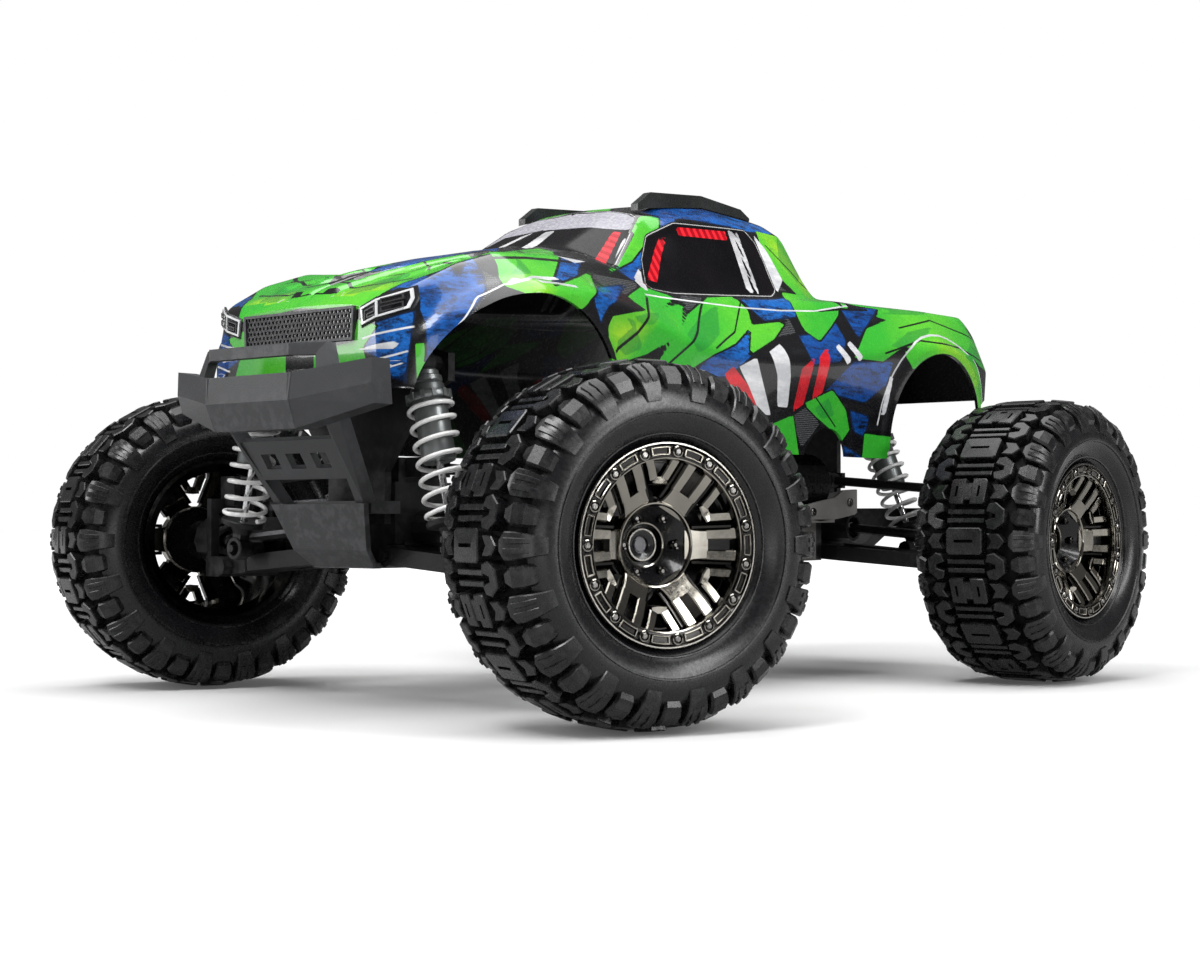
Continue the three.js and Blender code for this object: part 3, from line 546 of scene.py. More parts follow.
def wheel_shape():
    """The rim, its ring of bolts and its spokes, tagged with the places of their finishes and of the
    painted highlight and painted shade on the chrome.
    """
    shape = Shape()
    barrel = [(36.3, 21.5), (36.5, 26.3), (35.6, 26.8), (35.2, 26.3), (31.3, 26.0), (30.7, 25.4),
              (30.5, 22.0),
              (31.2, 12.0), (31.2, -24.0), (34.6, -26.6), (36.4, -26.6), (36.4, -24.6),
              (34.2, -22.0), (33.0, -18.0),
              (33.0, 18.0), (34.2, 21.5)]
    # The barrel is in the painted-shade chrome, the top of the outer lip in the painted-highlight
    # chrome.
    shape.lathe(barrel, 120, SHADED)
    shape.lathe([(35.9, 26.2), (36.0, 27.0), (36.5, 27.0), (36.7, 26.2)], 120, HIGHLIT)
    shape.lathe([(30.5, 25.2), (30.7, 26.3), (31.1, 26.4), (31.3, 25.2)], 120, FACE)
    pad = [(33.4 + 2.2 * math.cos(t),
            2.7 * math.sin(t)) for t in (FULL_TURN * i / 16 for i in range(16))]
    for k in range(BOLTS):
        a = FULL_TURN * (k + 0.5) / BOLTS
        # The pads under the ring's bolts are in the painted-shade chrome.
        shape.prism(pad, 25.4, 26.6, SHADED, turned(a), 0.35)
        ring = [(2.05, 26.3), (2.1, 27.1), (1.75, 27.2), (1.6, 26.3)]
        shape.lathe(ring, 20, FACE, turned(a) @ Matrix.Translation((0, 33.4, 0)))
        shape.prism(circle(1.3, 6, 33.4), 26.3, 27.5, BOLT, turned(a), 0.3)
        middle = turned(a + math.pi / BOLTS)
        for low, high in ((34.5, 35.1), (31.9, 32.5)):
            bar = []
            for radius, way in ((high, 1), (low, -1)):
                for i in range(7):
                    t = way * math.radians(-6.4 + 2 * 6.4 * i / 6)
                    bar.append((radius * math.cos(t), radius * math.sin(t)))
            shape.prism(bar, 25.6, 27.0, FACE, middle, 0.2)
        for reach in (-6.1, 6.1):
            post = [(32.2, -0.3), (34.8, -0.3), (34.8, 0.3), (32.2, 0.3)]
            shape.prism(post, 25.6, 26.9, FACE, middle @ turned(math.radians(reach)), 0.12)
    for k in range(SPOKES):
        turn = turned(FULL_TURN * k / SPOKES)
        dish_bar(shape, [(13, 0), (15.5, 0), (18, 0), (20.6, 0)], [6.6, 5.6, 5.3, 5.3], 5.0, 0.0,
                 FACE, turn)
        for side in (-1, 1):
            dish_bar(shape, [(20.2, side * 3.7), (26, side * 3.9), (32.6, side * 4.1)],
                     [1.9, 2.0, 2.1],
                     6.0, 0.0, FACE, turn)
            # Thin bars below the face beside each spoke, in the painted-shade chrome: painted shade in
            # the slots.
            dish_bar(shape, [(16, side * 6.3), (24, side * 6.6), (32.0, side * 6.9)],
                     [0.8, 0.7, 0.7],
                     4.0, 2.2, SHADED, turn)
        dish_bar(shape, [(20, 0), (26, 0), (32.4, 0)], [2.4] * 3, 1.4, 4.6, HUB, turn)
        pocket = turned(math.pi / SPOKES) @ turn
        for side in (-1, 1):
            dish_bar(shape, [(23.6, side * 2.2), (27.4, side * 4.0), (31.6, side * 6.2)], [1.7] * 3,
                     3.6, 1.2, FACE, pocket)
        dish_bar(shape, [(23.4, -3.0), (23.1, 0), (23.4, 3.0)], [1.7] * 3, 3.6, 1.25, FACE, pocket)
        # A thin bar deep in each pocket, in the painted-shade chrome: painted shade in its slot.
        dish_bar(shape, [(29.6, -2.6), (29.9, 0), (29.6, 2.6)], [0.5] * 3, 2.6, 3.0, SHADED, pocket)
    web = [(14.2, 12.0), (14.3, 17.4), (14.7, 18.1), (15.2, 18.2), (15.6, 17.8), (15.6, 12.0)]
    shape.lathe(web, 72, FACE)
    hub = [(3.1, 1.0), (3.1, 7.4), (4.2, 8.0), (5.7, 8.0), (6.3, 7.3), (6.3, 6.0), (7.4, 6.0),
           (7.6, 9.0),
           (8.4, 10.0), (13.2, 15.6), (14.3, 16.8), (15.2, 16.4), (15.0, 9.0), (9.0, 1.0)]
    shape.lathe(hub, 72, HUB)
    # A ring on the hub in the painted-highlight chrome.
    shape.lathe([(5.2, 7.8), (5.3, 8.5), (5.9, 8.5), (6.1, 7.6)], 48, HIGHLIT)
    shape.lathe([(7.5, 8.6), (7.6, 9.7), (8.1, 9.9), (8.4, 9.4)], 48, FACE)
    socket = [(1.0, 11.0), (1.0, 14.1), (1.55, 14.3), (1.9, 13.9), (1.9, 11.0)]
    for k in range(HUB_BOLTS):
        turn = turned(FULL_TURN * k / HUB_BOLTS) @ Matrix.Translation((0, 10.9, 0))
        # The sockets round the hub bolts are in the painted-shade chrome: painted shade in the
        # recesses.
        shape.lathe(socket, 18, SHADED, turn)
        shape.prism(circle(0.9, 6), 11.0, 13.9, BOLT, turn, 0.15)
    return shape


def dish(radius):
    """How far out the wheel's face stands at a radius."""
    for (r0, w0), (r1, w1) in zip(DISH, DISH[1:]):
        if radius <= r1:
            return w0 + (w1 - w0) * (radius - r0) / (r1 - r0)
    return DISH[-1][1]


def dish_bar(shape, path, half_widths, tall, sunk, tag, turn):
    """A bar of the wheel's face along (y, z) points, its top that far below the dish, its top edges
    broken."""
    points = []
    for k, ((y, z), half_width) in enumerate(zip(path, half_widths)):
        y0, z0 = path[max(k - 1, 0)]
        y1, z1 = path[min(k + 1, len(path) - 1)]
        way = Vector((y1 - y0, z1 - z0)).normalized()
        across = Vector((-way.y, way.x))
        w = dish(math.hypot(y, z)) - sunk
        edge = min(0.45, half_width * 0.4)
        section = ((w - tall, -half_width), (w - edge, -half_width), (w, edge - half_width),
                   (w, half_width - edge), (w - edge, half_width), (w - tall, half_width))
        points += [(x, y + across.x * t, z + across.y * t) for x, t in section]
    shape.add(points, capped(len(path), 6), tag, turn)


TYRE = tyre_shape()
sidewall_rings(TYRE)
WHEEL = wheel_shape()
for corner in CORNERS:
    place = wheel_matrix(corner)
    tyre = TYRE.build("tyre_" + corner + "_tread", [RUBBER, RUBBER_GROOVE_SHADE], place, 30)
    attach(tyre, "wheel_" + corner)
    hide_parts("tyre_" + corner)
    rim = WHEEL.build("wheel_" + corner + "_rim", WHEEL_FINISHES_AND_PAINTED_LIGHT, place, 30)
    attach(rim, "wheel_" + corner)
    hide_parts("wheel_" + corner)


# ---------------------------------------------------------------- shocks and springs

SPRING_RADIUS = 8.6
WIRE_RADIUS = 0.95
WIRE_SIDES = 10
TURNS = 7.5
CLOSED_TURNS = 0.75
STEPS_PER_TURN = 28
COLLAR_RIBS = 12
METAL, PLASTIC = 0, 1


def shock_ends(corner):
    """Top pivot and foot of a corner's shock."""
    side = side_of(corner)
    if corner[0] == "f":
        return Vector((side * 47, -172.6, 138)), Vector((side * 65, -172.6, 64.4))
    return Vector((side * 28, 172.6, 132)), Vector((side * 57, 172.6, 63))


def wire_along(points):
    """A round wire along the points."""
    rows = []
    normal = Vector((0, 0, 1))
    for i, p in enumerate(points):
        ahead = points[min(i + 1, len(points) - 1)] - points[max(i - 1, 0)]
        ahead.normalize()
        normal = (normal - ahead * normal.dot(ahead)).normalized()
        across = ahead.cross(normal)
        rows += [p + (normal * math.cos(a) + across * math.sin(a)) * WIRE_RADIUS
                 for a in (FULL_TURN * k / WIRE_SIDES for k in range(WIRE_SIDES))]
    shape = Shape()
    shape.add(rows, capped(len(points), WIRE_SIDES))
    return shape


def spring_points(start, finish):
    """A coil with closed ends, from near the shock's collar to its foot seat."""
    steps = int(TURNS * STEPS_PER_TURN)
    ends = 2.0 * WIRE_RADIUS * CLOSED_TURNS / (finish - start)
    points = []
    for i in range(steps + 1):
        turn = i / steps * TURNS
        rise = (turn - CLOSED_TURNS) / (TURNS - 2 * CLOSED_TURNS)
        if rise < 0:
            share = ends * turn / CLOSED_TURNS
        elif rise > 1:
            share = 1 - ends * (TURNS - turn) / CLOSED_TURNS
        else:
            share = ends + rise * (1 - 2 * ends)
        a = FULL_TURN * turn
        points.append(Vector((start + (finish - start) * share, SPRING_RADIUS * math.cos(a),
                              SPRING_RADIUS * math.sin(a))))
    return points


for corner in CORNERS:
    top, foot = shock_ends(corner)
    length = (foot - top).length
    place = frame_at(top, foot - top, (0, 1, 0))
    body = Shape()
    body.lathe([(0.3, 3.6), (4.6, 3.6), (5.4, 4.4), (5.4, 6.0), (6.4, 6.6), (6.4, 8.4), (5.9, 8.9),
                (6.4, 9.4),
                (6.7, 10.2), (6.7, 39.0), (6.3, 40.2), (2.2, 40.2), (2.2, 38), (0.3, 38)], 40,
                METAL)
    for k in range(COLLAR_RIBS):
        rib = [(8.0, -0.9), (8.0, 0.9), (9.2, 0.8), (9.2, -0.8)]
        body.prism(rib, 12.8, 16.0, METAL, turned(FULL_TURN * k / COLLAR_RIBS), 0.2)
    body.lathe([(6.5, 12.8), (8.6, 12.9), (8.9, 13.4), (8.9, 15.5), (8.6, 16.0), (6.5, 16.0)], 48,
               METAL)
    to_eye = place.inverted() @ frame_at(top, (0, 1, 0), foot - top)
    body.lathe([(1.6, -3), (4.2, -3), (4.7, -2.5), (4.7, 2.5), (4.2, 3), (1.6, 3)], 28, PLASTIC,
               to_eye)
    body.prism([(-3.0, -2.6), (3.0, -2.6), (3.0, 2.6), (-3.0, 2.6)], 3.2, 6.0, PLASTIC)
    cylinder = body.build("shock_" + corner + "_cylinder", [SHOCK_GREY, NYLON], place)
    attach(cylinder, "shock_body_" + corner)
    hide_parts("shock_body_" + corner)
    rod = Shape()
    rod.lathe([(0.2, 20), (1.5, 20), (1.5, length - 7), (0.2, length - 7)], 20, METAL)
    seat = length - 12.5
    rod.lathe([(2.0, seat + 0.2), (8.9, seat), (9.3, seat + 0.5), (9.1, seat + 2.2),
               (5.0, seat + 3.0),
               (3.6, seat + 6), (2.0, seat + 6)], 40, PLASTIC)
    to_foot = place.inverted() @ frame_at(foot, (0, 1, 0), foot - top)
    rod.lathe([(3.15, -3), (4.5, -3), (4.9, -2.6), (4.9, 2.6), (4.5, 3), (3.15, 3)], 28, PLASTIC,
              to_foot)
    rod.prism([(-2.6, -2.4), (2.6, -2.4), (2.6, 2.4), (-2.6, 2.4)], seat + 4, length - 4.4, PLASTIC)
    shaft = rod.build("shock_" + corner + "_shaft", [SHOCK_SHAFT, NYLON], place)
    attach(shaft, "shock_shaft_" + corner)
    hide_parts("shock_shaft_" + corner)
    start, finish = 16.3 + WIRE_RADIUS, length - 12.8 - WIRE_RADIUS
    wire = wire_along([place @ p for p in spring_points(start, finish)])
    spring = wire.build("spring_" + corner + "_coil", [SPRING_WHITE], sharp=60)
    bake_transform(spring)
    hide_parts("shock_spring_" + corner)


# ---------------------------------------------------------------- CAD nodes that show as they are

DRESSED = [
    (["lower_arm_" + corner for corner in CORNERS], NYLON, 0.5, "black_nylon"),
    (["upper_link_" + corner for corner in CORNERS], NYLON, 0.3, "black_nylon"),
    (["caster_block_fl", "caster_block_fr", "steering_block_fl", "steering_block_fr",
      "hub_carrier_rl",
      "hub_carrier_rr"], NYLON, 0.3, "black_nylon"),
    (["servo_saver", "idler_arm", "drag_link", "front_gearbox", "rear_gearbox", "front_shock_tower",
      "rear_shock_tower", "chassis_tub", "steering_servo"], NYLON, 0.35, "black_nylon"),
    (["half_shaft_" + corner for corner in CORNERS], DARK_STEEL, 0.2, "steel"),
    (["stub_axle_" + corner for corner in CORNERS], DARK_STEEL, 0.2, "steel"),
    (["tie_rod_left", "tie_rod_right"], DARK_STEEL, 0.2, "steel"),
    (["front_bumper", "front_skid_plate"], GREY_NYLON, 0.45, "bumper_grey_nylon"),
    (["motor"], MOTOR_STEEL, 0.4, "motor_steel"),
    (["battery"], BATTERY_BLUE, 0.8, "battery_wrap"),
    (["roof_skid_left", "roof_skid_right"], ROOF_BLACK, 0.5, "black_nylon"),
]
for nodes, material, bevel, slot in DRESSED:
    for node in nodes:
        dress(node, material, bevel)


# ---------------------------------------------------------------- body shell

# Half sections from the nose to the tail: y, then (x, z) of the crown, the hood or roof crease, the
# roof or pillar edge, the foot of the glass, the shoulder, the widest line and the sill.
SECTIONS = [
    (-195, [(0, 161), (16, 160.8), (30, 160), (37, 158.6), (44, 157), (45, 144), (46, 127)]),
    (-190, [(0, 165), (18, 165), (34, 164.5), (44, 164), (54, 163), (57.5, 146), (58, 126)]),
    (-184, [(0, 168), (19, 168.2), (36, 168), (46, 167.6), (56, 167), (64, 148), (62, 125)]),
    (-165, [(0, 175), (20, 175.4), (38, 175), (48, 176), (58, 177), (77, 158), (77, 124)]),
    (-143, [(0, 181), (21, 181.6), (38, 181), (48, 182.8), (58, 184), (84, 166), (84, 118)]),
    (-110, [(0, 189.5), (23, 189.6), (40, 188), (49, 187), (58, 186), (84, 168), (83, 107)]),
    (-80, [(0, 196), (26, 195.4), (46, 191.5), (54, 188), (60, 184.6), (82.5, 162), (80.5, 107)]),
    (-71, [(0, 200), (30, 197), (60, 184), (60.8, 183.6), (62, 183), (82, 160), (80, 107)]),
    (-52, [(0, 209), (26, 207), (50.5, 198.6), (64.3, 176.6), (66.8, 175.2), (83, 154), (80, 107)]),
    (-33, [(0, 217.6), (22, 216.8), (41, 213.4), (66, 175.6), (68.2, 174.3), (84, 151), (80, 107)]),
    (-27, [(0, 219.8), (24, 219), (43, 213.6), (66.3, 175.7), (68.6, 174.4), (84, 150.4),
           (80, 107)]),
    (-20, [(0, 221.2), (29, 219.9), (46, 212.4), (66.6, 175.9), (69, 174.6), (84.2, 150),
           (80, 107)]),
    (-12, [(0, 222.5), (33, 221), (46.5, 213.6), (66.9, 176.3), (69.3, 175), (84.5, 150),
           (80, 107)]),
    (17, [(0, 226), (34, 224.5), (47, 216), (67.6, 178.4), (70.2, 177), (85.5, 150), (80, 107)]),
    (49, [(0, 223.8), (36.5, 221.8), (46.6, 214.8), (66.6, 181.4), (70.8, 179.2), (86, 151),
          (80, 107)]),
    (62, [(0, 222), (38, 220), (46.2, 214.4), (64.6, 182.6), (71.4, 180.2), (86, 152.6),
          (80, 107)]),
    (68.5, [(0, 219.4), (38.6, 217.6), (45.4, 214), (62.8, 182.6), (71.8, 180.6), (86, 153.4),
            (80, 107)]),
    (72, [(0, 208), (39, 206.6), (51.5, 198), (61.8, 183), (72, 181), (86, 154), (80, 107)]),
    (75.5, [(0, 193), (40, 192.4), (57.4, 186.6), (61.2, 183.4), (72, 181.4), (86, 154.6),
            (80, 107)]),
    (78.5, [(0, 185.6), (40, 185.4), (56, 184.6), (61.6, 183.4), (72.4, 181.6), (86, 155),
            (80, 107)]),
    (85, [(0, 184.6), (42, 184.4), (58, 184), (63, 183.4), (73, 181.8), (86.2, 156), (80.4, 107)]),
    (86.6, [(0, 172), (44, 172), (59, 172.2), (60.2, 183.2), (73, 181.8), (86.2, 156.2),
            (80.5, 107)]),
    (104, [(0, 172), (46, 172), (60, 172.2), (61.2, 182.6), (75, 182), (87, 160), (82, 107)]),
    (148, [(0, 172), (46, 172), (60, 172.2), (61.2, 183.4), (76, 183), (89, 164), (86, 118)]),
    (183.4, [(0, 172), (46, 172), (60, 172.2), (61.2, 183.4), (76, 183), (87.2, 158.6),
             (85.2, 133)]),
    (185, [(0, 183), (46, 183.2), (60, 183.2), (62, 183.4), (76, 183), (87, 158), (85, 134)]),
    (190, [(0, 181), (46, 181.2), (60, 181.2), (64, 181.4), (75.5, 181), (86.2, 157.5),
           (84.4, 135.6)]),
    (200, [(0, 176), (46, 176), (60, 176), (67, 176), (74, 176), (83, 155), (82, 140)]),
]
CELLS = (12, 10, 15, 5, 12, 22)
SHOULDER = sum(CELLS[:4])
ROW_STEP = 2.0
EASINGS = 3
WALL = 1.5

# The wheel arches and the step between them, as circles (y, z, radius).
ARCHES = [(-143, 118, 47), (148, 118, 42)]
STEP_CUT = (56, 102, 18)


def section_at(y):
    for (y0, a), (y1, b) in zip(SECTIONS, SECTIONS[1:]):
        if y <= y1:
            t = (y - y0) / (y1 - y0)
            return [((1 - t) * p[0] + t * q[0], (1 - t) * p[1] + t * q[1]) for p, q in zip(a, b)]
    return SECTIONS[-1][1]


def stations():
    """Places along the truck: every section, and steps of about two millimetres between them."""
    ys = [SECTIONS[0][0]]
    for (y0, _), (y1, _) in zip(SECTIONS, SECTIONS[1:]):
        steps = max(1, round((y1 - y0) / ROW_STEP))
        ys += [y0 + (y1 - y0) * k / steps for k in range(1, steps + 1)]
    return ys


def half_row(y):
    points = section_at(y)
    row = []
    for k, cells in enumerate(CELLS):
        (x0, z0), (x1, z1) = points[k], points[k + 1]
        row += [(x0 + (x1 - x0) * i / cells, z0 + (z1 - z0) * i / cells) for i in range(cells)]
    row.append(points[-1])
    return row


def shell_grid():
    """Rows of points from the sill on one side over the crown to the other side, eased at every
    crease."""
    grid = []
    for y in stations():
        half = half_row(y)
        grid.append([(-x, y, z) for x, z in reversed(half[1:])] + [(x, y, z) for x, z in half])
    grid = np.array(grid)
    for _ in range(EASINGS):
        eased = grid.copy()
        eased[1:-1, 1:-1] = 0.5 * grid[1:-1, 1:-1] + 0.125 * (
            grid[:-2, 1:-1] + grid[2:, 1:-1] + grid[1:-1, :-2] + grid[1:-1, 2:])
        for end in (0, -1):
            eased[end, 1:-1] = 0.5 * grid[end, 1:-1] + 0.25 * (grid[end, :-2] + grid[end, 2:])
        grid = eased
    return grid


def end_cap(row):
    """Rows that close an end of the shell, from its top edge down to its lower edge."""
    middle = len(row) // 2
    edge = row[middle + SHOULDER:]
    columns = row[middle - SHOULDER:middle + SHOULDER + 1]
    rows = []
    for j in range(len(edge)):
        t = j / (len(edge) - 1)
        shrink = edge[j][0] / edge[0][0]
        rows.append([(c[0] * shrink, c[1],
                      edge[j][2] + (c[2] - edge[0][2]) * (1 - t)) for c in columns])
    return rows


def shell_mesh():
    grid = shell_grid()
    rows, columns, _ = grid.shape
    vertices = [tuple(p) for p in grid.reshape(-1, 3)]
    faces = quads(rows, columns, closed=False)
    for row, flip in ((grid[0], True), (grid[-1], False)):
        cap = end_cap([tuple(p) for p in row])
        base = len(vertices)
        for line in cap:
            vertices += line
        for quad in quads(len(cap), len(cap[0]), closed=False):
            quad = tuple(base + i for i in quad)
            faces.append(tuple(reversed(quad)) if flip else quad)
    mesh = bpy.data.meshes.new("shell")
    mesh.from_pydata(vertices, [], faces)
    work = bmesh.new()
    work.from_mesh(mesh)
    bmesh.ops.remove_doubles(work, verts=work.verts, dist=0.02)
    bmesh.ops.recalc_face_normals(work, faces=work.faces)
    work.to_mesh(mesh)
    work.free()
    return mesh


def arch_cutter():
    """Everything the wheel arches and the steps take out of the sides."""
    shape = Shape()
    for side in (-1, 1):
        for y, z, radius in ARCHES:
            outline = [(y + radius * math.cos(a), z + radius * math.sin(a))
                       for a in (math.pi * k / 60 for k in range(61))]
            outline += [(y - radius, 90), (y + radius, 90)]
            shape.prism(outline, *sorted((side * 50, side * 100)))
        y, z, radius = STEP_CUT
        shape.prism(circle(radius, 60, y, z), *sorted((side * 60, side * 100)))
    return shape.build("arch_cutter", [NYLON])


def apply_modifiers(obj):
    """The object's mesh with its modifiers carried out."""
    bpy.context.view_layer.update()
    evaluated = obj.evaluated_get(bpy.context.evaluated_depsgraph_get())
    mesh = bpy.data.meshes.new_from_object(evaluated)
    obj.modifiers.clear()
    obj.data = mesh


def polygon_distance(points, outline):
    """Signed distance of each point to a closed outline, positive inside."""
    outline = np.array(outline, float)
    best = np.full(len(points), 1e9)
    inside = np.zeros(len(points), bool)
    for a, b in zip(outline, np.roll(outline, -1, axis=0)):
        edge = b - a
        offset = points - a
        t = np.clip((offset @ edge) / (edge @ edge), 0, 1)
        best = np.minimum(best, np.linalg.norm(offset - t[:, None] * edge, axis=1))
        crosses = (a[1] > points[:, 1]) != (b[1] > points[:, 1])
        with np.errstate(divide="ignore", invalid="ignore"):
            at = a[0] + (points[:, 1] - a[1]) / (b[1] - a[1]) * edge[0]
        inside ^= crosses & (points[:, 0] < at)
    return np.where(inside, best, -best)


def line_fields(points, paths):
    """How far each point lies across the nearest path in half widths, signed, and its distance to
    it in mm."""
    across = np.full(len(points), FAR_ACROSS)
    near = np.full(len(points), FAR_FROM_LINE)
    for path, width in paths:
        path = np.array(path, float)
        for a, b in zip(path, path[1:]):
            edge = b - a
            offset = points - a
            t = np.clip((offset @ edge) / (edge @ edge), 0, 1)
            apart = np.linalg.norm(offset - t[:, None] * edge, axis=1)
            turned = (offset[:, 0] * edge[1] - offset[:,
                                                      1] * edge[0]) / np.linalg.norm(edge) / (width / 2)
            across = np.where(apart < near, turned, across)
            near = np.minimum(near, apart)
    return np.clip(across, -FAR_ACROSS, FAR_ACROSS), near


ARC_POINTS = 13


def arc_band(y, z, inner, outer, low, high):
    """The outline of a strip round a wheel arch, its outer edge first, between two angles in
    degrees."""
    turns = [math.radians(low + (high - low) * k / (ARC_POINTS - 1)) for k in range(ARC_POINTS)]
    return ([(y + outer * math.cos(a), z + outer * math.sin(a)) for a in turns]
            + [(y + inner * math.cos(a), z + inner * math.sin(a)) for a in reversed(turns)])


# Paint, as outlines in millimetres, and lines as (points, width). Side outlines are (y, z), top
# outlines (x, y), nose and tail outlines (x, z); each is painted on both sides of the truck. They
# simplify the photo's pattern: drawn over places read off it, rounded, with later shapes
# added.
SIDE_GREEN = [
    [(-104, 152), (-100, 158), (-85, 161), (-64, 164), (-42, 169), (-50, 162), (-62, 154),
     (-78, 147), (-97, 142)],
    [(-70, 140), (-61, 150), (-40, 164), (-18, 174), (0, 176), (4, 171), (1, 165), (-16, 156),
     (-34, 150),
     (-50, 142)],
    [(-6, 152), (4, 163), (27, 167), (14, 160)],
    [(43, 182), (77, 182), (73, 176), (64, 170), (50, 162), (43, 166)],
    [(48, 214), (68, 217), (82, 180), (60, 182), (50, 190), (44, 200)],
    [(76, 155), (92, 168), (112, 174), (150, 177), (186, 176), (205, 164), (205, 156), (188, 158),
     (168, 168),
     (150, 171), (128, 168), (108, 161), (96, 155)],
    [(106, 177), (128, 178), (152, 180), (184, 180), (205, 176), (205, 184), (180, 188),
     (120, 188)],
    [(38, 130), (56, 136), (68, 128), (72, 120), (68, 116), (58, 121), (46, 126)],
    [(88, 117), (106, 116), (108, 106), (88, 105)],
    [(13, 119), (26, 123), (33, 107), (19, 106)],
    [(-79, 169), (-62, 175), (-46, 173), (-70, 164)],
    [(-44, 206), (-22, 218), (-28, 208), (-58, 190), (-78, 182)],
    [(-154, 168), (-148, 176), (-142, 188), (-108, 186), (-126, 176), (-137, 170), (-144, 162)],
    [(-141, 165), (-98, 178), (-122, 162), (-136, 160)],
    [(-112, 142), (-100, 140), (-84, 128), (-84, 122), (-104, 132)],
    [(-60, 132), (-46, 138), (-30, 124), (-20, 107), (-44, 107)],
    arc_band(148, 118, 44, 51, 24, 128),
    arc_band(148, 118, 44, 50, -30, 16),
]
SIDE_LIME = [
    [(-104, 152), (-100, 158), (-85, 161), (-70, 163), (-82, 152), (-96, 143)],
    [(-154, 168), (-142, 172), (-137, 170), (-144, 162)],
    [(48, 214), (60, 216), (74, 188), (66, 184), (56, 200)],
    arc_band(148, 118, 43, 48, 40, 96),
]
SIDE_BLUE = [
    [(-45, 139), (-35, 148), (-18, 154), (2, 164), (5, 158), (-8, 150), (-24, 140)],
    [(36, 161), (51, 163), (68, 172), (70, 162), (60, 152), (38, 149)],
    [(79, 177), (107, 181), (82, 165)],
    [(52, 137), (72, 151), (104, 153), (100, 143), (84, 134)],
    [(62, 113), (76, 110), (90, 105), (106, 105), (106, 102), (62, 102)],
    [(-14, 220), (-14, 214), (-28, 202), (-66, 179), (-74, 184), (-34, 209)],
    [(-14, 216), (0, 219), (40, 218), (66, 216), (40, 214), (0, 215)],
    [(-186, 163), (-176, 176), (-168, 179), (-170, 168), (-156, 182), (-160, 171), (-164, 166),
     (-175, 154),
     (-179, 142), (-182, 126), (-187, 126)],
    [(-133, 172), (-108, 187), (-92, 186), (-119, 172)],
    [(-113, 169), (-74, 176), (-104, 164), (-110, 157)],
    [(52, 178), (80, 186), (80, 181), (66, 175)],
    [(6, 176), (30, 178), (42, 180), (40, 172), (14, 168)],
    [(-84, 142), (-64, 136), (-52, 124), (-74, 128)],
    [(74, 128), (88, 126), (86, 118), (78, 120)],
    [(104, 186), (152, 186), (150, 180), (120, 179)],
]
SIDE_CARBON = [
    [(-36, 175), (-20, 175), (-54, 152), (-64, 156)],
    [(26, 124), (43, 132), (48, 121), (36, 110)],
    [(42, 187), (54, 181), (50, 173), (40, 176)],
    [(14, 166), (34, 170), (34, 163), (18, 160)],
    [(-182, 132), (-176, 146), (-168, 160), (-154, 170), (-157, 174), (-172, 165), (-181, 150)],
    [(-100, 179), (-64, 178), (-72, 170), (-96, 172)],
]
SIDE_WHITE = [
    [(-66, 178), (-53, 187), (-60, 174)],
    [(42, 213), (47, 205), (48, 190), (37, 182), (40, 198)],
    [(98, 128), (101, 128), (106, 146), (103, 147)],
    [(-112, 187), (-100, 188), (-84, 186), (-100, 183)],
]
SIDE_WHITE_LINES = [
    (arc_band(148, 118, 46, 52, 60, 172)[:ARC_POINTS], 1.0),
    (arc_band(148, 118, 46, 52.5, 20, 50)[:ARC_POINTS], 0.6),
    ([(-140, 170), (-130, 170.4), (-122, 170)], 1.1),
    ([(-62, 172.6), (-28, 172.6), (0, 172.4), (30, 173.4), (57, 175.4), (83, 180), (125, 181.5)],
     0.7),
    ([(-154, 168), (-140, 172.4), (-128, 173)], 0.8),
    ([(-184, 128), (-180, 146), (-168, 162), (-150, 170.5)], 0.5),
]
SIDE_WINDOW = [[(-56, 176.8), (-49, 190), (-37, 202), (-17, 210.4), (36, 213), (40, 207), (37, 184),
                (32, 181),
                (0, 178.6), (-40, 176)]]
SIDE_RED = [
    [(-52, 181), (-28, 203), (-24, 203), (-46, 180)],
    [(-16, 209), (20, 211), (18, 206.4), (-16, 205)],
]
SIDE_SILVER = [[(22, 212), (26, 212), (19, 181), (15, 181)],
               [(27.5, 212), (30, 212), (24, 181), (21.5, 181)]]
SIDE_RED_MARKS = [
    [(-26, 140), (-20, 144), (-8, 136), (8, 120), (2, 118), (-14, 130)],
    [(30, 146), (40, 152), (34, 130), (26, 126)],
    [(44, 152), (54, 158), (48, 136), (40, 132)],
]
SIDE_WHITE_MARKS = [
    [(-16, 144), (-4, 149), (2, 138), (10, 124), (2, 124), (-8, 136)],
    [(6, 152), (18, 157), (22, 142), (22, 128), (14, 128), (12, 142)],
    [(60, 158), (64, 160), (70, 152), (66, 150)],
    [(70, 160), (74, 162), (80, 154), (76, 152)],
]
SIDE_SHADE = [
    [(-96, 158), (-76, 163), (-60, 165), (-74, 158)],
    [(-50, 156), (-30, 166), (-14, 173), (-24, 158), (-44, 148)],
    [(-100, 148), (-86, 157), (-80, 148), (-92, 144)],
    [(100, 160), (124, 170), (150, 175), (140, 170), (118, 162)],
    [(54, 200), (64, 214), (72, 196), (62, 190)],
    [(108, 178), (140, 180), (168, 184), (130, 184)],
    [(42, 128), (54, 134), (60, 126), (50, 124)],
    [(-150, 172), (-140, 178), (-132, 186), (-138, 174)],
    [(170, 160), (198, 154), (200, 162), (184, 168)],
]
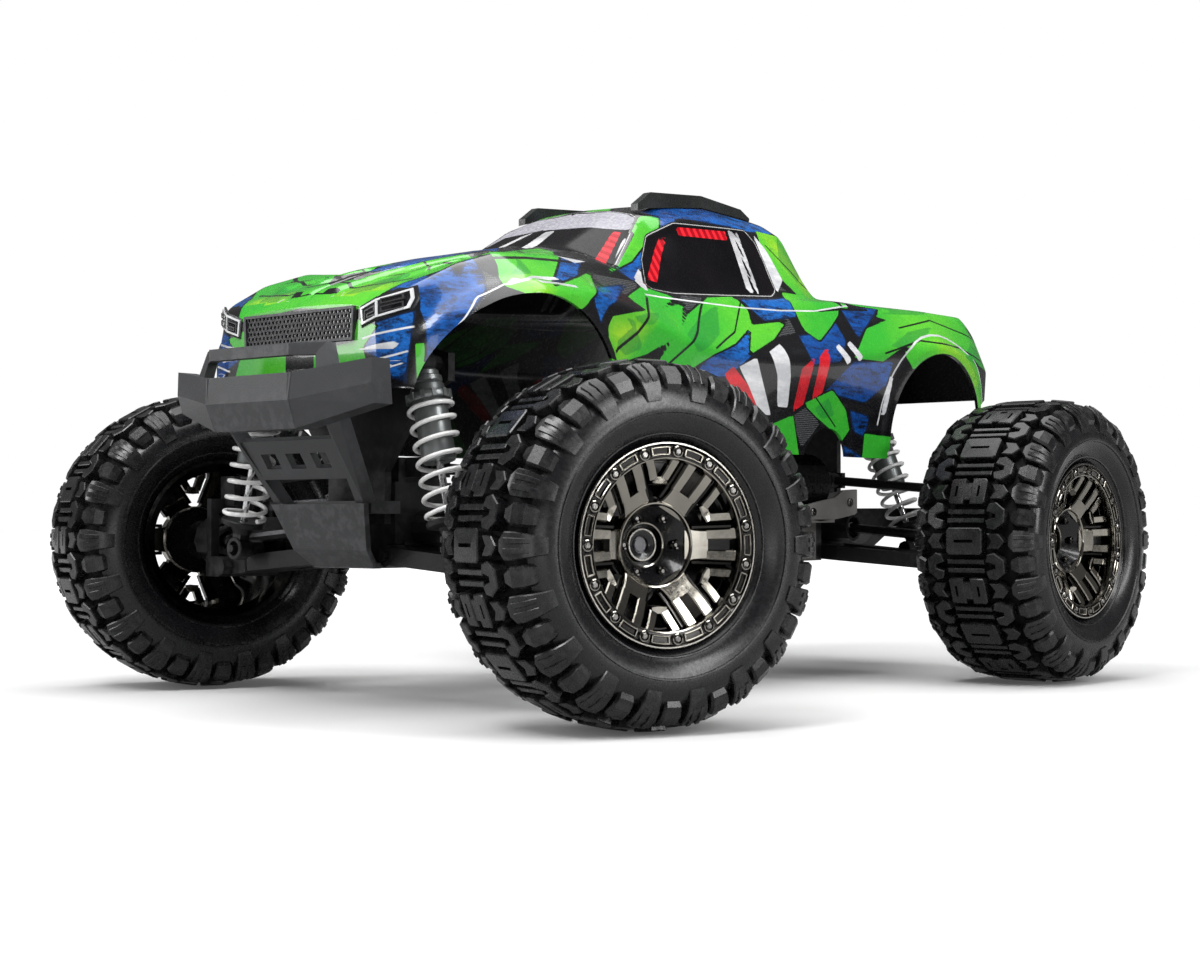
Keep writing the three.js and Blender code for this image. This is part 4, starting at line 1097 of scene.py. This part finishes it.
SIDE_CUTS = [
    ([(-98, 146), (-84, 154), (-66, 170)], 1.4),
    ([(-62, 143), (-40, 158), (-20, 177)], 1.1),
    ([(-30, 152), (-12, 160), (4, 176)], 0.8),
    ([(100, 158), (130, 166), (168, 165), (190, 160)], 1.0),
    ([(120, 172), (150, 178), (190, 172)], 0.8),
    ([(50, 206), (66, 190), (80, 186)], 0.9),
    ([(-150, 180), (-130, 182), (-104, 183)], 1.2),
    ([(44, 133), (60, 122)], 0.8),
    ([(62, 176), (78, 178), (96, 179)], 1.2),
]
TOP_SHADE = [
    [(20, -190), (34, -188), (40, -172), (28, -172)],
    [(34, -126), (46, -134), (56, -122), (42, -108)],
    [(66, 96), (76, 96), (76, 150), (68, 150)],
    [(0, 68), (24, 68), (30, 82), (6, 82)],
]
TOP_CUTS = [
    ([(2, -176), (20, -184), (44, -178)], 1.6),
    ([(24, -168), (44, -160), (58, -148)], 2.0),
    ([(18, -146), (34, -150), (44, -166)], 1.2),
    ([(30, -100), (46, -112), (60, -116)], 1.4),
    ([(12, 0), (24, 12), (32, 6)], 1.2),
    ([(62, 110), (82, 124)], 1.6),
    ([(62, 160), (82, 148)], 1.2),
]
TOP_GREEN = [
    [(0, -195), (38, -197), (46, -180), (58, -166), (60, -150), (34, -120), (16, -132), (20, -160),
     (10, -176),
     (0, -180)],
    [(26, -112), (60, -142), (60, -112), (40, -92), (30, -88)],
    [(8, -30), (20, -31), (16, -24), (6, -22)],
    [(20, -10), (31, -12), (31, 20), (18, 40), (10, 20)],
    [(0, 66), (30, 66), (46, 73), (40, 84), (0, 84)],
    [(62, 90), (80, 90), (80, 190), (62, 190)],
    [(10, 110), (50, 100), (30, 150), (5, 160)],
]
TOP_LIME = [[(10, -198), (40, -198), (42, -184), (24, -180)],
            [(30, -118), (50, -138), (60, -124), (44, -100)]]
TOP_BLUE = [
    [(43, -189), (43, -182), (50, -176), (58, -180), (56, -189)],
    [(0, -195), (6, -195), (8, -186), (0, -184)],
    [(0, -150), (8, -158), (16, -128), (24, -108), (14, -96), (0, -110)],
    [(0, -22), (10, -20), (24, -22), (32, -14), (18, -6), (0, 4)],
    [(0, 30), (22, 44), (34, 62), (0, 60)],
    [(35, -26), (47, -18), (47, 60), (40, 60), (38, 10)],
    [(0, 100), (8, 98), (2, 140), (0, 140)],
]
TOP_WHITE = [
    [(15, -195), (18, -195), (12, -187), (10, -187)],
    [(21, -195), (23, -195), (18, -187), (16.6, -187)],
]
TOP_CARBON = [[(20, -160), (30, -160), (28, -140), (18, -142)],
              [(30, -108), (40, -96), (44, -84), (30, -84)]]
WINDSHIELD = [[(-57, -76), (-45, -83), (0, -86), (45, -83), (57, -76), (58, -71), (41.4, -36),
               (36, -33.4),
               (0, -31), (-36, -33.4), (-41.4, -36), (-58, -71)]]
BANNER = [[(0, -53), (24, -50.5), (45, -43.5), (40.4, -35.6), (35, -33.4), (0, -31.6)]]
TOP_RED = [[(38, -48), (42, -47), (56, -76), (51, -79)]]
TOP_SILVER = [[(4, -54), (9, -54), (18, -84), (10, -84)],
              [(46.5, -50), (48, -50), (54, -65), (52.6, -66)]]
REAR_WINDOW = [[(-36, 188), (-33, 214), (33, 214), (36, 188)]]
NOSE_GREEN = [
    [(35, 152), (42, 150), (36, 144), (26, 140), (18, 143), (33, 144)],
    [(10, 141), (36, 141), (38, 136), (10, 135)],
    [(61.4, 142), (63, 142), (65, 124), (62, 124)],
    [(0, 165), (40, 163), (37, 159), (0, 162)],
]
NOSE_BLUE = [
    [(41, 150), (57, 155), (57, 142), (56, 128), (50, 134), (46, 139), (36, 143)],
    [(62.5, 172), (72, 172), (72, 140), (67, 124), (65, 140), (63.5, 150)],
]
NOSE_WHITE = [[(32, 142), (55, 145), (54, 141.6)]]
NOSE_WHITE_LINES = [([(39, 146.6), (56, 149.6)], 0.8), ([(46, 138), (55, 140)], 0.8),
                    ([(48, 134), (54, 135.6)], 0.6)]

LAYERS = {
    "green": (SIDE_GREEN, TOP_GREEN, NOSE_GREEN),
    "lime": (SIDE_LIME, TOP_LIME, []),
    "shade": (SIDE_SHADE, TOP_SHADE, []),
    "blue": (SIDE_BLUE, TOP_BLUE, NOSE_BLUE),
    "carbon": (SIDE_CARBON, TOP_CARBON, []),
    "white": (SIDE_WHITE + SIDE_WHITE_MARKS, TOP_WHITE, NOSE_WHITE),
    "glass": (SIDE_WINDOW, WINDSHIELD, []),
    "red": (SIDE_RED + SIDE_RED_MARKS, TOP_RED, []),
    "silver": (SIDE_SILVER, TOP_SILVER, []),
    "banner": ([], BANNER, []),
}
LINES = {"white_line": (SIDE_WHITE_LINES, [], NOSE_WHITE_LINES),
         "cut_line": (SIDE_CUTS, TOP_CUTS, [])}
TAIL = {
    "green": [[(0, 174), (14, 184), (48, 182), (34, 171), (10, 166)],
              [(30, 165), (60, 179), (74, 172), (70, 160),
              (44, 156)], [(2, 148), (22, 160), (44, 151), (30, 140), (10, 138)]],
    "lime": [[(0, 178), (16, 184), (30, 176), (12, 172)]],
    "blue": [[(40, 184), (70, 184), (70, 172), (56, 178)],
             [(0, 164), (26, 164), (44, 154), (20, 152), (0, 158)],
             [(48, 150), (66, 160), (66, 146), (54, 142)]],
    "carbon": [[(22, 170), (34, 172), (28, 162), (18, 162)]],
}

# Layers whose outlines grow by so much, and how deep or far a field reads where nothing is near.
GROWN = {"green": 1.5, "blue": 1.2}
OUTSIDE = -20.0
FAR_ACROSS = 12.0
FAR_FROM_LINE = 8.0

# Where the shell's views meet: y of the nose, tail and cab, and the rear window's y range and
# lowest z.
NOSE_END = -186
TAIL_START = 196
CAB = (-73, 77)
REAR_GLASS = (68, 79.5, 184)


def fold_line(y):
    """How far from the middle the top of the shell turns into its side."""
    ys = [station for station, _ in SECTIONS]
    roof = [points[2][0] for _, points in SECTIONS]
    shoulder = [points[4][0] for _, points in SECTIONS]
    cab = (y > CAB[0]) & (y < CAB[1])
    return np.where(cab, np.interp(y, ys, roof), np.interp(y, ys, shoulder))


def paint_fields(points, normals):
    """For each layer, each point's distance inside the nearest of its shapes, and the fields of its
    lines."""
    x, y, z = np.abs(points[:, 0]), points[:, 1], points[:, 2]
    nose = (y < NOSE_END) & (np.abs(normals[:, 2]) < 0.8)
    side = ~nose & (x > fold_line(y) - 0.3)
    top = ~nose & ~side
    views = (side, np.stack([y, z], 1)), (top, np.stack([x, y], 1)), (nose, np.stack([x, z], 1))
    fields = {}
    for layer, groups in LAYERS.items():
        field = np.full(len(points), OUTSIDE)
        for (where, flat), outlines in zip(views, groups):
            for outline in outlines:
                if layer in GROWN:
                    outline = inset(outline, -GROWN[layer])
                field[where] = np.maximum(field[where], polygon_distance(flat[where], outline))
        fields[layer] = field
    for layer, groups in LINES.items():
        across, near = np.full(len(points), FAR_ACROSS), np.full(len(points), FAR_FROM_LINE)
        for (where, flat), paths in zip(views, groups):
            across[where], near[where] = line_fields(flat[where], paths)
        fields[layer + "_across"], fields[layer + "_near"] = across, near
    tail = (y > TAIL_START) & (normals[:, 1] > 0.6)
    flat = np.stack([x, z], 1)
    for layer, outlines in TAIL.items():
        for outline in outlines:
            fields[layer][tail] = np.maximum(fields[layer][tail],
                                             polygon_distance(flat[tail], outline))
    low, high, foot = REAR_GLASS
    rear = (y > low) & (y < high) & (z > foot)
    back = polygon_distance(np.stack([points[:, 0], z], 1), REAR_WINDOW[0])
    fields["glass"][rear] = np.maximum(fields["glass"][rear], back[rear])
    return fields


# Half the width of a paint edge in mm, and waves per metre (times a full turn) of the dots and the
# ribs.
CRISP = 0.12
DOT_WAVE = 3600
RIB_WAVE = 1400


def body_paint(name, inside):
    """Gloss paint under a clear skin; the inside shows it dark, as through its backing."""
    material, shader = new_material(name)
    g = Graph(material.node_tree)

    def layer(field, edge=0.0):
        return g.ramp(g.attribute(field), edge - CRISP, edge + CRISP)

    def wave(value, rate):
        return g.math("SINE", g.math("MULTIPLY", value, rate))

    def drawn(lines):
        across = g.math("ABSOLUTE", g.attribute(lines + "_across"))
        return g.math("MULTIPLY", g.ramp(across, 0.8, 1.2, 1, 0),
                      g.ramp(g.attribute(lines + "_near"), 2.2, 2.8, 1, 0))

    cloud = g.noise(16, 5, 0.6)
    streak = g.noise(60, 6, 0.7, stretch=(1, 0.35, 1.6))
    scratch = g.noise(210, 8, 0.8, stretch=(1, 0.5, 2.2))
    fleck = g.noise(620, 4, 0.7)
    black = g.mix(g.ramp(streak, 0.52, 0.75), (0.003, 0.003, 0.004), (0.012, 0.013, 0.016))
    place = g.add("ShaderNodeSeparateXYZ")
    g.link(g.place, place.inputs[0])
    up = wave(g.math("ADD", place.outputs[1], place.outputs[2]), DOT_WAVE)
    down = wave(g.math("SUBTRACT", place.outputs[1], place.outputs[2]), DOT_WAVE)
    dots = g.ramp(g.math("MULTIPLY", up, down), 0.1, 0.35)
    mesh_dots = g.mix(dots, (0.008, 0.008, 0.009), (0.11, 0.115, 0.12))
    colour = g.mix(layer("carbon"), black, mesh_dots)
    deep_blue = g.mix(g.ramp(cloud, 0.38, 0.62), (0.002, 0.05, 0.24), (0.008, 0.12, 0.44))
    worn_blue = g.mix(g.ramp(scratch, 0.46, 0.60), deep_blue, (0.003, 0.012, 0.05))
    inky_blue = g.mix(g.ramp(streak, 0.58, 0.68), worn_blue, (0.002, 0.003, 0.008))
    edge_blue = g.mix(layer("blue", 0.6), (0.002, 0.01, 0.04), inky_blue)
    colour = g.mix(layer("blue"), colour, edge_blue)
    green = g.mix(g.ramp(cloud, 0.42, 0.66), (0.03, 0.36, 0.025), (0.09, 0.47, 0.025))
    lime = g.mix(g.ramp(streak, 0.38, 0.62), (0.15, 0.47, 0.015), (0.31, 0.58, 0.025))
    green = g.mix(g.ramp(g.attribute("lime"), -4.0, 5.0), green, lime)
    green = g.mix(g.math("MULTIPLY", layer("shade"), 0.6), green, (0.012, 0.2, 0.03))
    green = g.mix(g.math("MULTIPLY", g.ramp(scratch, 0.58, 0.66), 0.5), green, (0.012, 0.16, 0.02))
    colour = g.mix(layer("green", -0.8), colour, (0.002, 0.004, 0.003))
    colour = g.mix(layer("green"), colour, green)
    colour = g.mix(drawn("cut_line"), colour, black)
    white = g.mix(g.ramp(streak, 0.42, 0.6), (0.46, 0.47, 0.49), (0.68, 0.68, 0.69))
    colour = g.mix(layer("red"), colour, g.mix(g.ramp(streak, 0.4, 0.6), (0.35, 0.005, 0.012),
                                               (0.62, 0.01, 0.02)))
    colour = g.mix(layer("white"), colour, white)
    colour = g.mix(drawn("white_line"), colour, white)
    tint = g.mix(g.ramp(cloud, 0.3, 0.7), (0.002, 0.002, 0.003), (0.008, 0.007, 0.008))
    colour = g.mix(layer("glass", -1.1), colour, (0.004, 0.004, 0.004))
    colour = g.mix(layer("glass", -0.55), colour, (0.5, 0.5, 0.5))
    colour = g.mix(layer("glass", -0.25), colour, tint)
    inside_glass = layer("glass")
    ribs = g.ramp(wave(place.outputs[1], RIB_WAVE), -0.2, 0.6)
    red = g.mix(ribs, (0.3, 0.004, 0.01), (0.72, 0.02, 0.03))
    colour = g.mix(g.math("MULTIPLY", layer("red"), inside_glass), colour, red)
    silver = g.mix(g.ramp(streak, 0.4, 0.6), (0.3, 0.3, 0.31), (0.55, 0.55, 0.56))
    colour = g.mix(g.math("MULTIPLY", layer("silver"), inside_glass), colour, silver)
    banner = g.mix(g.ramp(fleck, 0.4, 0.6), (0.27, 0.265, 0.3), (0.36, 0.355, 0.39))
    colour = g.mix(layer("banner"), colour, banner)
    if inside:
        faded = g.mix(g.ramp(streak, 0.35, 0.65), (0.05, 0.05, 0.05), (0.16, 0.16, 0.16))
        colour = g.mix(1.0, colour, faded, "MULTIPLY")
    g.link(colour, shader.inputs["Base Color"])
    g.link(g.ramp(fleck, 0.3, 0.7, 0.22, 0.3), shader.inputs["Roughness"])
    g.link(g.bump(g.noise(90, 3), 0.05, 0.0006), shader.inputs["Normal"])
    clear = 0.3 if inside else 0.42
    g.link(g.ramp(g.attribute("glass"), -0.3, 0.3, clear, 0.06), shader.inputs["Coat Weight"])
    g.link(g.ramp(g.attribute("glass"), -0.3, 0.3, 0.4, 0.05), shader.inputs["Specular IOR Level"])
    shader.inputs["Coat Roughness"].default_value = 0.3 if inside else 0.04
    return material


# Panels pressed into or out of the hood and roof, as a (x, y) outline and its height.
PANELS = [
    ([(0, -190), (14, -188), (22, -160), (26, -120), (24, -90), (0, -88)], 1.6),
    ([(4, -172), (13, -176), (18, -156), (17, -140), (8, -142)], -2.4),
    ([(34, -178), (46, -168), (48, -150), (40, -140), (32, -150)], 1.2),
    ([(40, -132), (50, -136), (52, -110), (44, -102)], -1.0),
    ([(8, -20), (26, -18), (27, 50), (8, 52)], -1.0),
]


def relief(points, normals, fields):
    """Moves the outer skin for the recessed glass, the wheel-arch lips and the pressed panels."""
    x, y, z = np.abs(points[:, 0]), points[:, 1], points[:, 2]
    out = -0.6 * np.clip(fields["glass"] / 1.2, 0, 1)
    side = x > fold_line(y)
    for centre_y, centre_z, radius in ARCHES:
        gap = np.hypot(y - centre_y, z - centre_z) - radius
        out += 1.1 * (np.clip((7.0 - gap) / 2.5, 0, 1) * side * (z > 110))
    flat = np.stack([x, y], 1)
    for outline, height in PANELS:
        out += height * np.clip(polygon_distance(flat, outline) / 2.2, 0, 1) * (z > 150)
    return points + normals * out[:, None]


def points_and_normals(mesh):
    arrays = []
    for key in ("co", "normal"):
        values = np.zeros(len(mesh.vertices) * 3)
        mesh.vertices.foreach_get(key, values)
        arrays.append(values.reshape(-1, 3))
    return arrays


def body_object():
    outer = shell_mesh()
    shell = add_object("painted_shell", outer)
    points, normals = points_and_normals(outer)
    points = relief(points, normals, paint_fields(points, normals))
    outer.vertices.foreach_set("co", (points * MM).ravel())
    outer.update()
    outer.materials.append(body_paint("body_paint", False))
    outer.materials.append(body_paint("body_paint_inside", True))
    skin = shell.modifiers.new("thickness", "SOLIDIFY")
    skin.thickness = WALL * MM
    skin.offset = -1
    skin.use_even_offset = False
    skin.material_offset = 1
    skin.material_offset_rim = 1
    cutter = arch_cutter()
    take = shell.modifiers.new("arches", "BOOLEAN")
    take.operation = "DIFFERENCE"
    take.solver = "EXACT"
    take.object = cutter
    apply_modifiers(shell)
    bpy.data.objects.remove(cutter)
    mesh = shell.data
    points, normals = points_and_normals(mesh)
    for layer, field in paint_fields(points / MM, normals).items():
        attribute = mesh.attributes.new(layer, "FLOAT", "POINT")
        attribute.data.foreach_set("value", field.astype(np.float32))
    for polygon in mesh.polygons:
        polygon.use_smooth = True
    mesh.set_sharp_from_angle(angle=math.radians(40))
    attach(shell, "chassis")
    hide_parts("body_shell")


body_object()


# ---------------------------------------------------------------- grille and lamps

def nose_point(x, z, proud):
    """A point of the nose at that side place and height, standing proud of the shell."""
    away = abs(x)
    y = float(np.interp(away, [0, 45, 54.8, 60], [-195, -195, -190, -184]))
    return Vector((x, y - proud, z))


def nose_ring(shape, outline, width, low, high, tag=0):
    """A raised rim along a closed (x, z) outline."""
    inner = inset(outline, width)
    rows = ((outline, low), (outline, high), (inner, high), (inner, low))
    points = [nose_point(x, z, proud) for row, proud in rows for x, z in row]
    shape.add(points, quads(4, len(outline), round_again=True), tag)


def nose_plate(shape, outline, low, high, tag=0):
    n = len(outline)
    points = [nose_point(x, z, proud) for proud in (low, high) for x, z in outline]
    shape.add(points, [tuple(reversed(range(n))), tuple(range(n, 2 * n))] + quads(2, n), tag)


CELL_PITCH = 2.3
CELL_RADIUS = 1.22


def grille():
    shape = Shape()
    outline = [(-33.2, 159.2), (33.2, 159.2), (32.4, 146), (-32.4, 146)]
    nose_plate(shape, outline, -0.4, 0.5, 1)
    nose_ring(shape, outline, 1.1, 0.4, 1.5)
    for row in range(-3, 3):
        for column in range(-14, 15):
            x = (column + 0.5 * (row % 2)) * CELL_PITCH
            z = 152.6 + (row + 0.5) * CELL_PITCH * 0.866
            if abs(x) > 31.2 - abs(z - 159) * 0.05:
                continue
            cell = [(x + CELL_RADIUS * math.sin(k * math.pi / 3),
                     z + CELL_RADIUS * math.cos(k * math.pi / 3))
                    for k in range(6)]
            nose_ring(shape, cell, 0.28, 0.45, 1.1)
    obj = shape.build("front_grille_mesh", [GRILLE_GREY, LAMP_DARK])
    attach(obj, "chassis")


def lamp(side):
    shape = Shape()

    def on_side(outline):
        return [(side * x, z) for x, z in outline]

    housing = [(35.6, 158.6), (45, 161.8), (58.0, 166), (58.4, 161), (57.0, 156.6), (45, 153.0),
               (36.6, 150.4)]
    nose_plate(shape, on_side(housing), -0.6, 0.45, 1)
    nose_ring(shape, on_side(inset(housing, 0.8)), 0.75, 0.4, 1.0)
    inner = [(38.6, 156.8), (44.2, 158.6), (44.2, 156.2), (40.4, 155.2), (40.4, 154.4),
             (44.2, 155.2), (44.2, 153.9),
             (38.8, 152.6)]
    nose_ring(shape, on_side(inner), 0.4, 0.4, 0.9, 2)
    bar = [(44.8, 160.2), (45.5, 160.4), (45.5, 154.1), (44.8, 153.9)]
    nose_plate(shape, on_side(bar), 0.4, 1.0)
    for low, high in ((155.6, 158.0), (158.8, 161.0)):
        cell = [(46.6, low + 0.2), (46.6, high), (54.8, high + 1.9), (55.0, low + 2.0)]
        nose_ring(shape, on_side(cell), 0.4, 0.4, 0.9, 2)
    name = "headlight_left" if side > 0 else "headlight_right"
    obj = shape.build(name, [LAMP_WHITE, LAMP_DARK, GRILLE_GREY])
    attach(obj, "chassis")


grille()
for side in (-1, 1):
    lamp(side)


# ---------------------------------------------------------------- rear bracket

def bracket():
    """A bent sheet-metal strip beside the drive line: stations of (x, y, low, high) along its outer
    face."""
    stations = [(57, 72, 77.5, 84), (57, 86, 76.5, 86.5), (57, 98, 77.5, 88), (57, 106, 78.5, 92),
                (57, 116, 80, 92.5),
                (55.6, 120, 81, 92.5), (51, 123, 81.5, 92.5), (36, 126.6, 82, 91),
                (19.4, 130.4, 82, 90)]
    shape = Shape()
    thick = 1.6
    points = []
    for k, (x, y, low, high) in enumerate(stations):
        x0, y0 = stations[max(k - 1, 0)][:2]
        x1, y1 = stations[min(k + 1, len(stations) - 1)][:2]
        way = Vector((x1 - x0, y1 - y0)).normalized()
        inner = (x - way.y * thick, y + way.x * thick)
        points += [(x, y, low), (x, y, high), (*inner, high), (*inner, low)]
    ends = [(0, 1, 2, 3), tuple(len(points) - i for i in (1, 2, 3, 4))]
    shape.add(points, ends + quads(len(stations), 4))
    shelf = [(57, 74, 77.4), (57, 98, 77.6), (40, 98, 77.6), (40, 74, 77.4)]
    shape.add(shelf + [(x, y, z - thick) for x, y, z in shelf],
              [(0, 1, 2, 3), (7, 6, 5, 4)] + quads(2, 4))
    post = [(46, 80), (50, 80), (50, 92), (46, 92)]
    shape.add([(x, y, 58) for x, y in post] + [(x, y, 76.5) for x, y in post],
              [(3, 2, 1, 0), (4, 5, 6, 7)] + quads(2, 4))
    for y, z in ((79, 81), (111, 86)):
        turn = Matrix.Translation((57, y, z))
        shape.prism(circle(2.1, 14), -0.4, 1.3, 1, turn, 0.4)
        shape.prism(circle(1.0, 6), 0.4, 1.45, 1, turn, 0.1)
    bent = shape.build("rear_bracket", [BRACKET_GREY, BOLT_STEEL])
    round_edges(bent, 0.35)
    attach(bent, "chassis")


bracket()


# ---------------------------------------------------------------- stage, lights, camera

def floor():
    """A pale floor that brightens to the backdrop's white away from the truck."""
    count, size = 40, 12.0
    places = [-size + i * (2 * size / count) for i in range(count + 1)]
    mesh = bpy.data.meshes.new("floor")
    mesh.from_pydata([(x, y, 0) for y in places for x in places], [],
                     quads(count + 1, count + 1, closed=False))
    material, shader = new_material("floor_pale")
    g = Graph(material.node_tree)
    seen = g.add("ShaderNodeLightPath").outputs["Is Camera Ray"]
    pale = g.mix(g.noise(3, 3), (0.68, 0.68, 0.68), (0.72, 0.72, 0.72))
    g.link(g.mix(seen, (0.3, 0.3, 0.3), pale), shader.inputs["Base Color"])
    shader.inputs["Roughness"].default_value = 0.6
    reach = g.add("ShaderNodeVectorMath", operation="LENGTH")
    g.link(g.place, reach.inputs[0])
    shader.inputs["Emission Color"].default_value = (1, 1, 1, 1)
    g.link(g.ramp(reach.outputs["Value"], 0.5, 2.0, 0.06, 1.0), shader.inputs["Emission Strength"])
    mesh.materials.append(material)
    obj = add_object("floor", mesh)


def area_light(name, place, target, size, power):
    data = bpy.data.lights.new(name, "AREA")
    data.shape = "RECTANGLE"
    data.size, data.size_y = size
    data.energy = power
    obj = add_object(name, data)
    obj.location = place
    obj.rotation_euler = (Vector(target) - Vector(place)).to_track_quat("-Z", "Y").to_euler()


floor()
area_light("key", (0.2, -1.2, 1.6), (0, 0, 0.1), (0.7, 0.7), 24)
area_light("side_strip", (1.7, 0.2, 0.9), (0.05, 0, 0.1), (0.3, 1.6), 18)
area_light("front_strip", (-1.0, -1.2, 0.8), (0, -0.1, 0.1), (0.3, 1.2), 11)
area_light("top", (0.0, 0.1, 1.9), (0, 0, 0.1), (2.0, 2.0), 42)
area_light("low_fill", (1.1, -1.2, 0.14), (0.05, -0.1, 0.09), (0.9, 0.16), 1.6)
area_light("glint", (1.0, -0.15, 0.62), (0.14, -0.15, 0.07), (0.1, 0.5), 2.2)

world = bpy.data.worlds.new("studio")
bpy.context.scene.world = world
world.use_nodes = True
sky = world.node_tree
backdrop = sky.nodes["Background"]
backdrop.inputs["Color"].default_value = (1, 1, 1, 1)
seen = sky.nodes.new("ShaderNodeLightPath").outputs["Is Camera Ray"]
level = sky.nodes.new("ShaderNodeMapRange")
level.inputs["To Min"].default_value = 0.12
level.inputs["To Max"].default_value = 1.0
sky.links.new(seen, level.inputs["Value"])
sky.links.new(level.outputs[0], backdrop.inputs["Strength"])

# The camera fitted to the outlines of three wheels in the photo.
CAMERA_PLACE = (0.5979, -0.7047, 0.0747)
CAMERA_YAW = math.radians(40.81)
CAMERA_PITCH = math.radians(1.31)
CAMERA_ROLL = math.radians(0.09)
camera_data = bpy.data.cameras.new("camera")
camera_data.lens = 58.74
camera_data.sensor_width = 36
camera = add_object("camera", camera_data)
camera.location = CAMERA_PLACE
camera.rotation_euler = (Matrix.Rotation(CAMERA_YAW, 3,
                                         "Z") @ Matrix.Rotation(math.pi / 2 + CAMERA_PITCH, 3, "X")
                         @ Matrix.Rotation(CAMERA_ROLL, 3, "Z")).to_euler()
bpy.context.scene.camera = camera
bpy.context.scene.view_settings.view_transform = "Standard"
